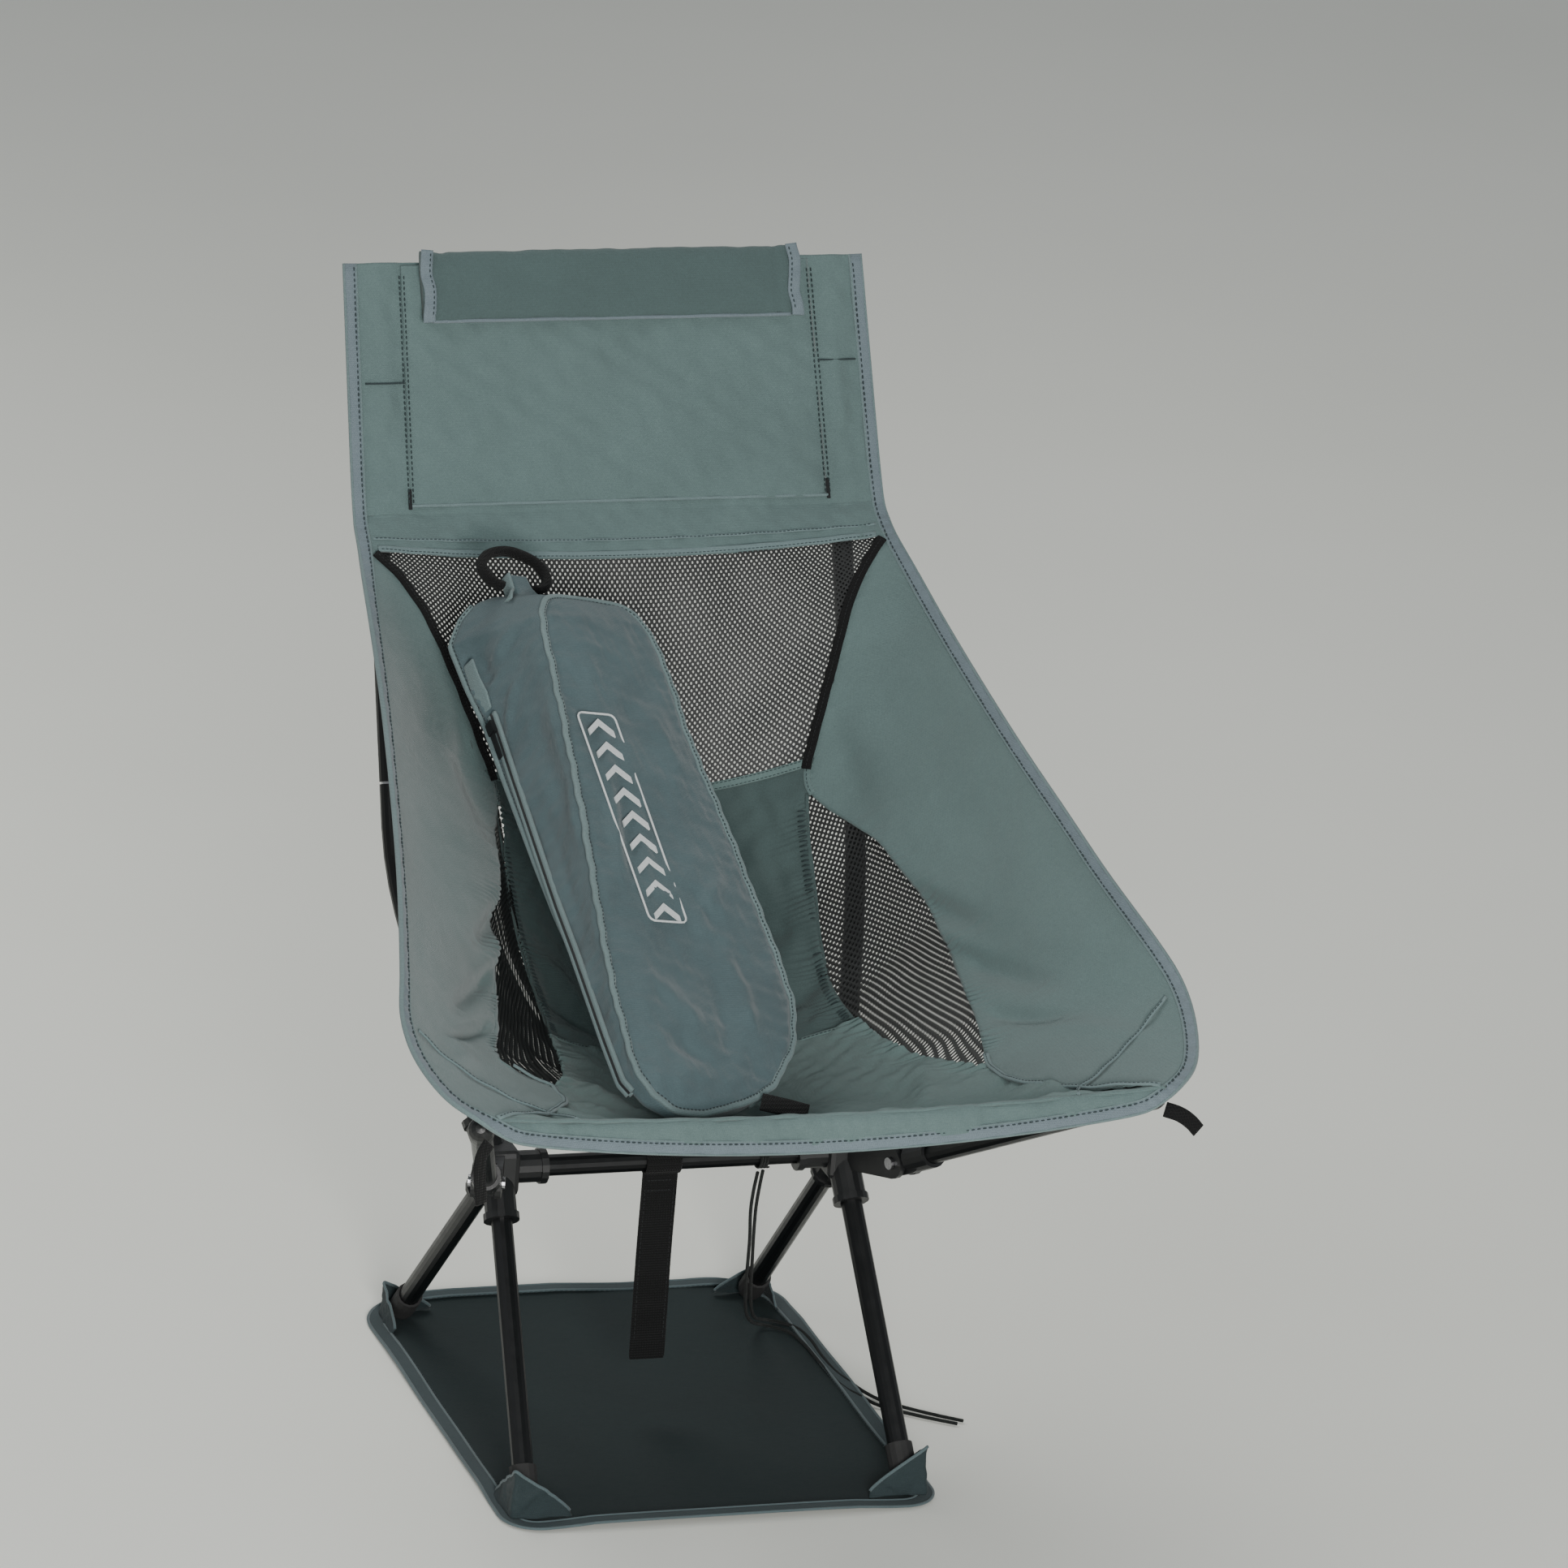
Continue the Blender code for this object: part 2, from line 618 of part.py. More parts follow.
def panel_grid(places, inner, outer, columns, lift=0.0):
    """Points of a panel at the given stations between two seams, lifted towards the sitter."""
    grid = []
    for value in places:
        shares = np.linspace(inner(value), outer(value), columns)
        grid.append([
            sling_point(share, value) + lift * sling_normal(share, value) for share in shares])
    return grid


def side_panel(name, places, inner, outer, columns, material, lift=0.0, thickness=CLOTH):
    """The same panel on the right and on the left."""
    for side, label in ((1, "right"), (-1, "left")):
        grid = panel_grid(places, inner, outer, columns, lift)
        if side < 0:
            grid = [[(-x, y, z) for x, y, z in reversed(row)] for row in grid]
        name_part(shell(grid, thickness), f"{name}_{label}", material)


def centre_panel(name, places, outer, columns, material, lift=0.0, thickness=CLOTH):
    grid = panel_grid(places, lambda v: -outer(v), outer, columns, lift)
    name_part(shell(grid, thickness), name, material)


def outer_seam(value):
    return seam(OUTER_SEAM, value)


def inner_seam(value):
    return seam(INNER_SEAM, value)


def pocket_edge(value):
    """Inner edge of the corner reinforcement where a front pole's tip pushes up."""
    return float(np.interp(value, (1.3, 2.05, 3.7), (0.78, 0.73, 0.96)))


def make_sling():
    full = 1.0 - SEAM_U / 2
    centre_panel("front_hem", np.linspace(0.0, 1.0 - SEAM_V, 3), lambda v: full, 13, FABRIC)
    centre_panel(
        "seat_base", np.linspace(1.06, SEAT_SEAM - SEAM_V, 12),
        lambda v: (outer_seam(v) if v < 3.7 else inner_seam(v)) - SEAM_U, 11, LINING)
    centre_panel(
        "seat_back", np.linspace(SEAT_SEAM + SEAM_V, MESH_BOTTOM - SEAM_V, 11),
        lambda v: (inner_seam(v) if v < 8.9 else outer_seam(v)) - SEAM_U, 7, LINING)
    centre_panel(
        "back_mesh", np.linspace(MESH_BOTTOM + SEAM_V, MESH_TOP, 8),
        lambda v: outer_seam(v) - SEAM_U, 9, MESH)
    side_panel(
        "wing", np.linspace(1.10, MESH_TOP, 24), lambda v: outer_seam(v) + SEAM_U,
        lambda v: full, 5, FABRIC)
    side_panel(
        "side_mesh", np.linspace(3.95, 8.72, 12), lambda v: inner_seam(v) + SEAM_U,
        lambda v: outer_seam(v) - SEAM_U, 4, MESH)
    upper = (MESH_TOP + 2 * SEAM_V, BEND - 0.5, BEND, BEND + 0.5, TOP)
    centre_panel("upper_back", upper, lambda v: full, 9, FABRIC)
    side_panel(
        "corner_pocket", np.linspace(1.3, 3.6, 7), pocket_edge, lambda v: 0.95, 4, LINING,
        lift=-0.0045, thickness=LIGHT_CLOTH)
    centre_panel(
        "pocket_panel", np.linspace(BEND + 0.03, BEND + 0.93, 3), lambda v: POCKET_SHARE, 9, FABRIC,
        lift=(CLOTH + LIGHT_CLOTH) / 2 + 2 * GAP, thickness=LIGHT_CLOTH)
    make_sleeves()
    make_headrest()
    make_binding()
    make_tabs()


def make_sleeves():
    """Back halves of the two sleeves that hold the rear poles."""
    middle = (SLEEVE_INNER + SLEEVE_OUTER) / 2
    half = (SLEEVE_OUTER - SLEEVE_INNER) / 2
    for side, label in ((1, "right"), (-1, "left")):
        rows = []
        for value in np.linspace(BEND + 0.08, BEND + 0.95, 5):
            height = station(value)[1]
            pole = REAR_ELBOW.y + (height - REAR_ELBOW.z) * SLEEVE_DIRECTION.y / SLEEVE_DIRECTION.z
            back = pole + SLEEVE_CLEAR / SLEEVE_DIRECTION.z
            row = []
            for angle in np.linspace(math.pi, 0.0, 9):
                x = middle + half * math.cos(angle)
                front = sling_point(x / station(value)[2], value)[1] + 0.0020
                row.append((side * x, front + (back - front) * math.sin(angle) ** 0.6, height))
            rows.append(row if side > 0 else row[::-1])
        name_part(shell(rows, LIGHT_CLOTH), "pole_sleeve_" + label, FABRIC, 40)


def make_headrest():
    """The padded flap that hangs over the front of the top edge."""
    top = Vector((0.0, *STATIONS[TOP][:2]))
    down = Vector((0.0, *STATIONS[BEND][:2])) - top
    down.normalize()
    front = Vector((0.0, down.z, -down.y))
    rings = []
    for share in np.linspace(-1.0, 1.0, 9):
        ring = []
        for angle in np.linspace(0.0, 2 * math.pi, 16, endpoint=False):
            reach = FLAP_HALF_HEIGHT * math.copysign(abs(math.cos(angle)) ** 0.6, math.cos(angle))
            swell = FLAP_HALF_DEPTH * math.copysign(abs(math.sin(angle)) ** 0.8, math.sin(angle))
            point = top + down * (FLAP_DROP + reach) + front * (FLAP_AHEAD + swell)
            ring.append((share * FLAP_HALF_WIDTH, point.y, point.z))
        rings.append(ring)
    name_part(lofted(rings), "headrest_flap", FABRIC, 50)


def beyond_edge(across, value, ahead, reach):
    """A point reach outside the sling's edge, where ahead is a near point further along it."""
    point = sling_point(across, value)
    along_edge = sling_point(*ahead) - point
    outward = np.cross(along_edge, sling_normal(min(across, 0.98), max(value, 0.02)))
    return Vector(point) + Vector(outward).normalized() * reach


def rim_route():
    """The sling's edge from the top left, round the front hem, to the top right."""
    hem = [
        beyond_edge(share, 0.0, (share + 0.02, 0.0), BINDING_REACH)
        for share in np.linspace(0.0, 0.96, 7)]
    places = (
        *np.arange(0.0, 4.0, 0.5), *np.arange(4.0, BEND - 1.0),
        *np.arange(BEND - 1.0, BEND + 1.0, 0.5))
    side = [beyond_edge(1.0, place, (1.0, place + 0.02), BINDING_REACH) for place in places]
    top = beyond_edge(1.0, TOP, (1.0, TOP + 0.1), BINDING_REACH)
    right = hem + side + [Vector((side[-1].x, top.y, top.z))]
    left = [mirrored(point, -1) for point in reversed(right)]
    return left[:-1] + right


def make_binding():
    name_part(curve_rod(rim_route(), BINDING_RADIUS, 1), "rim_binding", BINDING)


def ribbon(points, width_direction, width, thickness):
    """A flat strip along the points."""
    half = Vector(width_direction).normalized() * (width / 2)
    grid = [[Vector(point) - half, Vector(point) + half] for point in points]
    return shell(grid, thickness)


def make_tabs():
    """Short webbing tails at the two front corners."""
    right = ribbon(RIGHT_TAB, RIGHT_TAB_ACROSS, TAB_WIDTH, TAB_THICKNESS)
    name_part(right, "pull_tab_right", WEBBING)
    left = ribbon(LEFT_TAB, LEFT_TAB_ACROSS, TAB_WIDTH, TAB_THICKNESS)
    name_part(left, "pull_tab_left", WEBBING)


# ------------------------------------------------------------------ ground sheet
def rounded_outline(half_width, low, high, radius, arc=4):
    corners = (
        (half_width - radius, low + radius, -0.5), (half_width - radius, high - radius, 0.0),
        (-half_width + radius, high - radius, 0.5), (-half_width + radius, low + radius, 1.0))
    outline = []
    for x, y, first in corners:
        for step in range(arc + 1):
            angle = math.pi * (first + 0.5 * step / arc)
            outline.append((x + radius * math.cos(angle), y + radius * math.sin(angle)))
    return outline


def make_ground_sheet():
    outline = rounded_outline(SHEET_HALF_WIDTH, SHEET_FRONT, SHEET_BACK, SHEET_CORNER)
    rings = [[(x, y, height) for x, y in outline] for height in (0.0, SHEET_THICKNESS)]
    name_part(lofted(rings), "ground_sheet", SHEET)
    for side, label in ((1, "right"), (-1, "left")):
        make_foot_pocket(side, label, "front", FRONT_FOOT, -1)
        make_foot_pocket(side, label, "rear", REAR_FOOT, 1)


def make_foot_pocket(side, label, place, foot, outward):
    """A corner of cloth that rises round a foot, open towards the middle of the sheet."""
    floor = SHEET_THICKNESS + GAP
    reach = POCKET_REACH[place]
    rows = []
    for share in np.linspace(0.0, 1.0, 9):
        angle = math.pi / 2 * share
        turn = math.cos(angle) - math.sin(angle)
        out_x = POCKET_CLEAR * min(1.0, 1.35 * math.cos(angle)) - reach * max(0.0, -turn)
        out_y = POCKET_CLEAR * min(1.0, 1.35 * math.sin(angle)) - reach * max(0.0, turn)
        x = side * (foot.x + out_x)
        y = foot.y + outward * out_y
        height = POCKET_HEIGHT[place] * (1.0 - abs(turn)) ** 0.8 + 0.004
        rows.append([(x, y, floor), (x, y, floor + height)])
    name_part(shell(rows, LIGHT_CLOTH), f"foot_pocket_{place}_{label}", SHEET)


# ------------------------------------------------------------------ webbing and cord
def make_strap():
    """The storage strap: a loop round the crossbar and a tail that hangs below it."""
    inner = TUBE_RADIUS + GAP + 0.0004
    outer = inner + STRAP_THICKNESS
    left = STRAP_X - STRAP_WIDTH / 2
    profile = ((outer, STRAP_WIDTH), (outer, 0.0), (inner, 0.0), (inner, STRAP_WIDTH))
    loop = turned(profile, (left, 0.0, HUB.z), (1.0, 0.0, 0.0), closed=True)
    top = HUB.z - inner - STRAP_THICKNESS / 2
    height = top - STRAP_END_HEIGHT
    centre = (STRAP_X, 0.0, STRAP_END_HEIGHT + height / 2)
    tail = block(centre, (STRAP_WIDTH, STRAP_THICKNESS, height))
    combine(loop, tail, "UNION")
    name_part(loop, "hanging_strap", WEBBING, 35)


CORD_ROUTES = {
    "cord_near": (
        (0.0770, -0.0020, 0.2170), (0.0760, 0.0020, 0.1990), (0.0765, 0.0070, 0.1780),
        (0.0800, 0.0140, 0.1520), (0.0845, 0.0270, 0.1240), (0.0930, 0.0520, 0.0930),
        (0.1070, 0.0900, 0.0580), (0.1230, 0.1290, 0.0290), (0.1380, 0.1540, 0.0110),
        (0.1530, 0.1590, 0.0053), (0.1670, 0.1440, 0.0050), (0.1720, 0.1180, 0.0050),
        (0.1730, 0.0850, 0.0050), (0.1745, 0.0450, 0.0050), (0.1785, 0.0180, 0.0052),
        (0.1850, 0.0020, 0.0055), (0.1930, -0.0095, 0.0034), (0.2040, -0.0205, 0.0020),
        (0.2180, -0.0330, 0.0020), (0.2340, -0.0460, 0.0020), (0.2520, -0.0590, 0.0020)),
    "cord_far": (
        (0.0825, 0.0010, 0.2170), (0.0822, 0.0060, 0.1990), (0.0825, 0.0115, 0.1780),
        (0.0850, 0.0190, 0.1520), (0.0900, 0.0320, 0.1240), (0.0990, 0.0570, 0.0930),
        (0.1130, 0.0940, 0.0590), (0.1290, 0.1340, 0.0300), (0.1430, 0.1620, 0.0115),
        (0.1600, 0.1690, 0.0053), (0.1760, 0.1530, 0.0050), (0.1805, 0.1250, 0.0050),
        (0.1795, 0.0900, 0.0050), (0.1805, 0.0560, 0.0052), (0.1850, 0.0340, 0.0055),
        (0.1925, 0.0150, 0.0035), (0.2010, 0.0010, 0.0020), (0.2110, -0.0120, 0.0020),
        (0.2250, -0.0260, 0.0020), (0.2410, -0.0400, 0.0020), (0.2590, -0.0540, 0.0020)),
}


def make_cords():
    """A doubled tie cord from the crossbar down to the right rear foot and along the sheet."""
    for name, points in CORD_ROUTES.items():
        name_part(curve_rod(smooth_route(points, CORD_STEP), CORD_RADIUS, 2), name, CORD)
    inner = TUBE_RADIUS + 2 * GAP
    outer = inner + 2 * CORD_RADIUS
    profile = ((outer, KNOT_WIDTH), (outer, 0.0), (inner, 0.0), (inner, KNOT_WIDTH))
    start = (KNOT_X - KNOT_WIDTH / 2, 0.0, HUB.z)
    knot = turned(profile, start, (1.0, 0.0, 0.0), closed=True)
    name_part(knot, "cord_knot", CORD, 35)


# ------------------------------------------------------------------ carry bag
def bag_frame():
    """The bag's length, width and depth directions; depth points away from the sitter."""
    length = (BAG_TOP - BAG_BOTTOM).normalized()
    level = Vector((1.0, 0.0, 0.0)) - length * length.x
    level.normalize()
    behind = length.cross(level)
    if behind.z > 0:
        behind = -behind
    width = level * math.cos(BAG_TURN) + behind * math.sin(BAG_TURN)
    depth = behind * math.cos(BAG_TURN) - level * math.sin(BAG_TURN)
    return length, width, depth


def bag_point(share, sideways, inward):
    """A point on a section: sideways runs from -1 left to 1 right, inward from 0 front to 1 back."""
    length, width, depth = bag_frame()
    reach = (BAG_TOP - BAG_BOTTOM).length
    columns = list(zip(*BAG_SECTIONS))
    middle, half, inset, thick, lean, rise = (
        float(np.interp(share, columns[0], column)) for column in columns[1:])
    return (
        BAG_BOTTOM + length * (share * reach + rise * inward)
        + width * (middle + half * sideways - lean * inward) + depth * (inset + thick * inward))


def make_bag():
    length, width, depth = bag_frame()
    rings = []
    for share, *_ in BAG_SECTIONS:
        ring = []
        for angle in np.linspace(0.0, 2 * math.pi, 20, endpoint=False):
            sideways = math.copysign(abs(math.cos(angle)) ** 0.45, math.cos(angle))
            inward = (1.0 + math.copysign(abs(math.sin(angle)) ** 0.45, math.sin(angle))) / 2
            ring.append(bag_point(share, sideways, inward))
        rings.append(ring)
    name_part(lofted(rings), "bag_body", BAG, 60)
    ridge_low = bag_point(ZIP_SHARES[0], -1.0, ZIP_INWARD)
    ridge_high = bag_point(ZIP_SHARES[1], -1.0, ZIP_INWARD)
    strip_direction = (ridge_high - ridge_low).normalized()
    side = -width + strip_direction * width.dot(strip_direction)
    side.normalize()
    frame = Matrix((side.cross(strip_direction), side, strip_direction)).transposed()
    middle = (ridge_low + ridge_high) / 2 + side * ZIP_LIFT
    size = (*ZIP_SIZE, (ridge_high - ridge_low).length)
    name_part(block(middle, size, frame), "bag_zip", BAG)
    body_size = (0.008, 0.004, 0.012)
    clear = ZIP_LIFT + (ZIP_SIZE[1] + body_size[1]) / 2 + GAP
    slider = ridge_high - strip_direction * 0.014 + side * clear
    body = block(slider, body_size, frame)
    pull = slider - strip_direction * 0.018 + side * 0.0005
    combine(body, block(pull, (0.005, 0.0016, 0.030), frame), "UNION")
    name_part(body, "bag_zip_slider", PLASTIC)
    share, across, inward = HANDLE_PIVOT
    reach = (BAG_TOP - BAG_BOTTOM).length
    pivot = BAG_BOTTOM + length * (share * reach) + width * across + depth * inward
    right = [pivot + width * across + length * beyond for across, beyond in HANDLE_LOOP]
    left = [pivot - width * across + length * beyond for across, beyond in HANDLE_LOOP]
    loop = smooth_route(right + left[-2::-1], 0.009)
    name_part(curve_rod(loop, HANDLE_RADIUS, 2), "bag_handle", WEBBING)


make_frame()
make_sling()
make_ground_sheet()
make_strap()
make_cords()
make_bag()
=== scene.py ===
"""Looks for the folding high-back camp chair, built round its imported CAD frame."""
import json
import math

import bpy
import numpy as np
from mathutils import Matrix, Vector


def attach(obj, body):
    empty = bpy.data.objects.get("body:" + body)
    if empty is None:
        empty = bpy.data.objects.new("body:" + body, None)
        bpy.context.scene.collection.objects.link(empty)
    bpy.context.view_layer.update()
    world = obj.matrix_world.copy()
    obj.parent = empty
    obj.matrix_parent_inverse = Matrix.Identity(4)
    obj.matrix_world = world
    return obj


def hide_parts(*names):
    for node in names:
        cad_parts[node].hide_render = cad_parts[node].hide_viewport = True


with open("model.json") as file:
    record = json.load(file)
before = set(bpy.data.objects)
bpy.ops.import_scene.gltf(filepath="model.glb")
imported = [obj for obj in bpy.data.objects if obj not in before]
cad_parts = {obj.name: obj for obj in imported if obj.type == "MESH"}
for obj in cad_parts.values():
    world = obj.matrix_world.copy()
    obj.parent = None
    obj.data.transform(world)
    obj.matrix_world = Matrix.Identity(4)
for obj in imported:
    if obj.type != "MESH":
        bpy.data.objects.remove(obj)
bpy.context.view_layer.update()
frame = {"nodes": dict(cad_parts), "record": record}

# ------------------------------------------------------------------ camera
LENS = 213.84
CAMERA_PLACE = (-2.2947, -6.8281, 3.1041)
CAMERA_RIGHT = (0.95032, -0.30267, 0.07266)
CAMERA_UP = (0.03572, 0.33792, 0.94050)
CAMERA_BACK = (-0.30921, -0.89118, 0.33194)


def make_camera():
    """The camera, turned by its right, up and back directions."""
    data = bpy.data.cameras.new("camera")
    data.lens = LENS
    data.sensor_width = 36.0
    data.clip_end = 60.0
    camera = bpy.data.objects.new("camera", data)
    bpy.context.scene.collection.objects.link(camera)
    turn = Matrix((CAMERA_RIGHT, CAMERA_UP, CAMERA_BACK)).transposed()
    camera.matrix_world = Matrix.Translation(CAMERA_PLACE) @ turn.to_4x4()
    bpy.context.scene.camera = camera


make_camera()


# ------------------------------------------------------------------ materials
class Nodes:
    """Shorthand for building one material's node tree."""

    def __init__(self, name):
        self.material = bpy.data.materials.new(name)
        self.material.use_nodes = True
        self.tree = self.material.node_tree
        self.shader = self.tree.nodes["Principled BSDF"]
        self.coordinates = self.tree.nodes.new("ShaderNodeTexCoord")

    def link(self, source, target):
        """Joins an output to an input."""
        self.tree.links.new(source, target)

    def noise(self, scale, detail=4.0, roughness=0.55):
        node = self.tree.nodes.new("ShaderNodeTexNoise")
        node.inputs["Scale"].default_value = scale
        node.inputs["Detail"].default_value = detail
        node.inputs["Roughness"].default_value = roughness
        self.link(self.coordinates.outputs["Object"], node.inputs["Vector"])
        return node.outputs["Fac"]

    def ramp(self, source, stops):
        node = self.tree.nodes.new("ShaderNodeValToRGB")
        elements = node.color_ramp.elements
        while len(elements) < len(stops):
            elements.new(0.5)
        for element, (place, color) in zip(elements, stops):
            element.position = place
            element.color = (*color, 1.0)
        self.link(source, node.inputs["Fac"])
        return node.outputs["Color"]

    def math(self, operation, first, second=None, third=None):
        node = self.tree.nodes.new("ShaderNodeMath")
        node.operation = operation
        for socket, value in zip(node.inputs, (first, second, third)):
            if value is None:
                continue
            if isinstance(value, (int, float)):
                socket.default_value = value
            else:
                self.link(value, socket)
        return node.outputs[0]

    def vector(self, operation, first, second=None):
        node = self.tree.nodes.new("ShaderNodeVectorMath")
        node.operation = operation
        for socket, value in zip(node.inputs, (first, second)):
            if value is None:
                continue
            if isinstance(value, tuple):
                socket.default_value = value
            else:
                self.link(value, socket)
        return node.outputs["Value" if operation in ("LENGTH", "DOT_PRODUCT") else "Vector"]

    def weave(self, pitch):
        """A plain weave's height: threads crossing over and under each other."""
        split = self.tree.nodes.new("ShaderNodeSeparateXYZ")
        self.link(self.coordinates.outputs["Object"], split.inputs[0])
        turns = 2 * math.pi / pitch
        waves = [self.math("SINE", self.math("MULTIPLY", split.outputs[axis], turns)) for axis in "XYZ"]
        product = self.math("MULTIPLY", waves[0], waves[1])
        return self.math("ADD", product, self.math("MULTIPLY", waves[2], 0.6))

    def bump(self, height, strength, distance, before=None):
        node = self.tree.nodes.new("ShaderNodeBump")
        node.inputs["Strength"].default_value = strength
        node.inputs["Distance"].default_value = distance
        self.link(height, node.inputs["Height"])
        if before is not None:
            self.link(before, node.inputs["Normal"])
        return node.outputs["Normal"]


def shade(color, factor):
    """The color made darker or lighter."""
    return tuple(min(1.0, channel * factor) for channel in color)


def textile(
        name, color, roughness=0.80, pitch=0.0011, sheen=0.17, contrast=0.14, blotch=7.0, weave=0.35):
    """Woven cloth: slow colour variation, thread grain, a fine weave and a little sheen."""
    made = Nodes(name)
    slow = made.noise(blotch, 5.0, 0.6)
    stops = ((0.28, shade(color, 1 - contrast)), (0.52, color), (0.78, shade(color, 1 + contrast)))
    tint = made.ramp(slow, stops)
    grain = made.noise(620.0, 3.0, 0.7)
    mix = made.tree.nodes.new("ShaderNodeMix")
    mix.data_type = "RGBA"
    mix.blend_type = "MULTIPLY"
    mix.inputs["Factor"].default_value = 0.55
    made.link(tint, mix.inputs["A"])
    made.link(made.ramp(grain, ((0.25, (0.62,) * 3), (0.75, (1.0,) * 3))), mix.inputs["B"])
    made.link(mix.outputs["Result"], made.shader.inputs["Base Color"])
    rough = made.math("MULTIPLY_ADD", slow, 0.16, roughness - 0.08)
    made.link(rough, made.shader.inputs["Roughness"])
    creases = made.bump(made.noise(46.0, 6.0, 0.62), 0.22, 0.004)
    threads = made.bump(made.weave(pitch), weave, 0.0004, creases)
    made.link(threads, made.shader.inputs["Normal"])
    made.shader.inputs["Sheen Weight"].default_value = sheen
    made.shader.inputs["Sheen Roughness"].default_value = 0.45
    made.shader.inputs["Specular IOR Level"].default_value = 0.22
    return made.material


def netting(name, color, pitch_across, pitch_along, hole, staggered):
    """Open mesh: the holes between the threads are see-through."""
    made = Nodes(name)
    uv = made.coordinates.outputs["UV"]
    scaled = made.vector("MULTIPLY", uv, (1.0 / pitch_across, 1.0 / pitch_along, 0.0))
    lattices = [scaled]
    if staggered:
        lattices.append(made.vector("ADD", scaled, (0.5, 0.5, 0.0)))
    nearest = None
    for lattice in lattices:
        offset = made.vector("SUBTRACT", made.vector("FRACTION", lattice), (0.5, 0.5, 0.0))
        distance = made.vector("LENGTH", offset)
        nearest = distance if nearest is None else made.math("MINIMUM", nearest, distance)
    wobble = made.math("MULTIPLY_ADD", made.noise(160.0, 2.0), 0.06, -0.03)
    edge = made.math("SUBTRACT", made.math("ADD", nearest, wobble), hole)
    solid = made.math("MULTIPLY_ADD", edge, 14.0, 0.5)
    clamp = made.tree.nodes.new("ShaderNodeClamp")
    made.link(solid, clamp.inputs["Value"])
    made.link(clamp.outputs["Result"], made.shader.inputs["Alpha"])
    tint = made.ramp(made.noise(300.0), ((0.3, shade(color, 0.7)), (0.7, shade(color, 1.4))))
    made.link(tint, made.shader.inputs["Base Color"])
    made.link(made.bump(nearest, 0.6, 0.0008), made.shader.inputs["Normal"])
    made.shader.inputs["Roughness"].default_value = 0.62
    return made.material


def coated(name, color, metallic, roughness, grain_scale, grain, wear_color):
    """Painted metal, moulded plastic or rubber with a fine surface grain and light wear."""
    made = Nodes(name)
    scuffs = made.noise(38.0, 8.0, 0.7)
    stops = ((0.30, shade(color, 0.8)), (0.60, color), (0.74, shade(color, 1.5)), (0.86, wear_color))
    made.link(made.ramp(scuffs, stops), made.shader.inputs["Base Color"])
    rough = made.math("MULTIPLY_ADD", made.noise(90.0, 6.0), 0.22, roughness - 0.11)
    made.link(rough, made.shader.inputs["Roughness"])
    made.link(made.bump(made.noise(grain_scale, 4.0), grain, 0.0003), made.shader.inputs["Normal"])
    made.shader.inputs["Metallic"].default_value = metallic
    return made.material


FABRIC = textile("sling_cloth", (0.1040, 0.1540, 0.1510), sheen=0.21, contrast=0.10)
# The seat cloth's darker copy, for the seat's back, the window's inner hems and the corner pockets:
# painted shade.
SEAT_CLOTH_SHADED = textile("seat_cloth_painted_shade", (0.0546, 0.0828, 0.0811), roughness=0.72, sheen=0.10, contrast=0.16)
# The seat cloth's lighter copy, for the seat's front part and its tapes: painted light.
SEAT_CLOTH_LIT = textile("seat_front_cloth_painted_light", (0.1178, 0.1750, 0.1683), sheen=0.15)
BINDING = textile("binding_tape", (0.1345, 0.1724, 0.1931), roughness=0.74, pitch=0.0016, contrast=0.08)
HEM = textile("hem_tape", (0.1310, 0.1828, 0.1862), pitch=0.0016, contrast=0.10)
# The headrest roll's cloth: the sling cloth darkened, painted shade for the roll's shaded face.
HEADREST_SHADED_CLOTH = textile("headrest_cloth_painted_shade", (0.0670, 0.1006, 0.0993), sheen=0.15, contrast=0.10)
SHEET = textile(
    "ground_cloth", (0.0076, 0.0172, 0.0179), roughness=0.72, sheen=0.03, contrast=0.18, blotch=5.0)
SHEET_EDGE = textile(
    "ground_binding", (0.0345, 0.0524, 0.0566), roughness=0.74, pitch=0.0016, sheen=0.07)
# Lighter sheet cloth for the folds of the sheet's hem and the foot pockets' hems: painted highlight.
SHEET_FOLD_HIGHLIGHT = textile("ground_fold_painted_highlight", (0.0759, 0.1069, 0.1138), roughness=0.74, pitch=0.0016)
FOOT_CLOTH = textile("foot_pocket_cloth", (0.0207, 0.0331, 0.0359), roughness=0.72, sheen=0.07)
BAG = textile("bag_cloth", (0.0676, 0.1034, 0.1117), roughness=0.66, contrast=0.16, blotch=11.0)
BAG_PIPING = textile("bag_piping", (0.1310, 0.1828, 0.1848), roughness=0.74, pitch=0.0016)
BAG_PRINT = textile(
    "bag_print", (0.5710, 0.6028, 0.6028), roughness=0.6, sheen=0.0, contrast=0.06, weave=0.15)
THREAD = textile("thread", (0.0276, 0.0428, 0.0455), roughness=0.7, pitch=0.0006, sheen=0.07)
DARK_THREAD = textile("dark_thread", (0.012, 0.014, 0.015), roughness=0.7, pitch=0.0006, sheen=0.1)
WEBBING = textile("webbing", (0.0043, 0.0046, 0.0047), pitch=0.0022, sheen=0.03, weave=0.8)
CORD = textile(
    "cord_braid", (0.0070, 0.0095, 0.0085), roughness=0.8, pitch=0.0012, sheen=0.06, weave=0.9)
NET = netting("back_net", (0.008, 0.009, 0.009), 0.0050, 0.0056, 0.198, True)
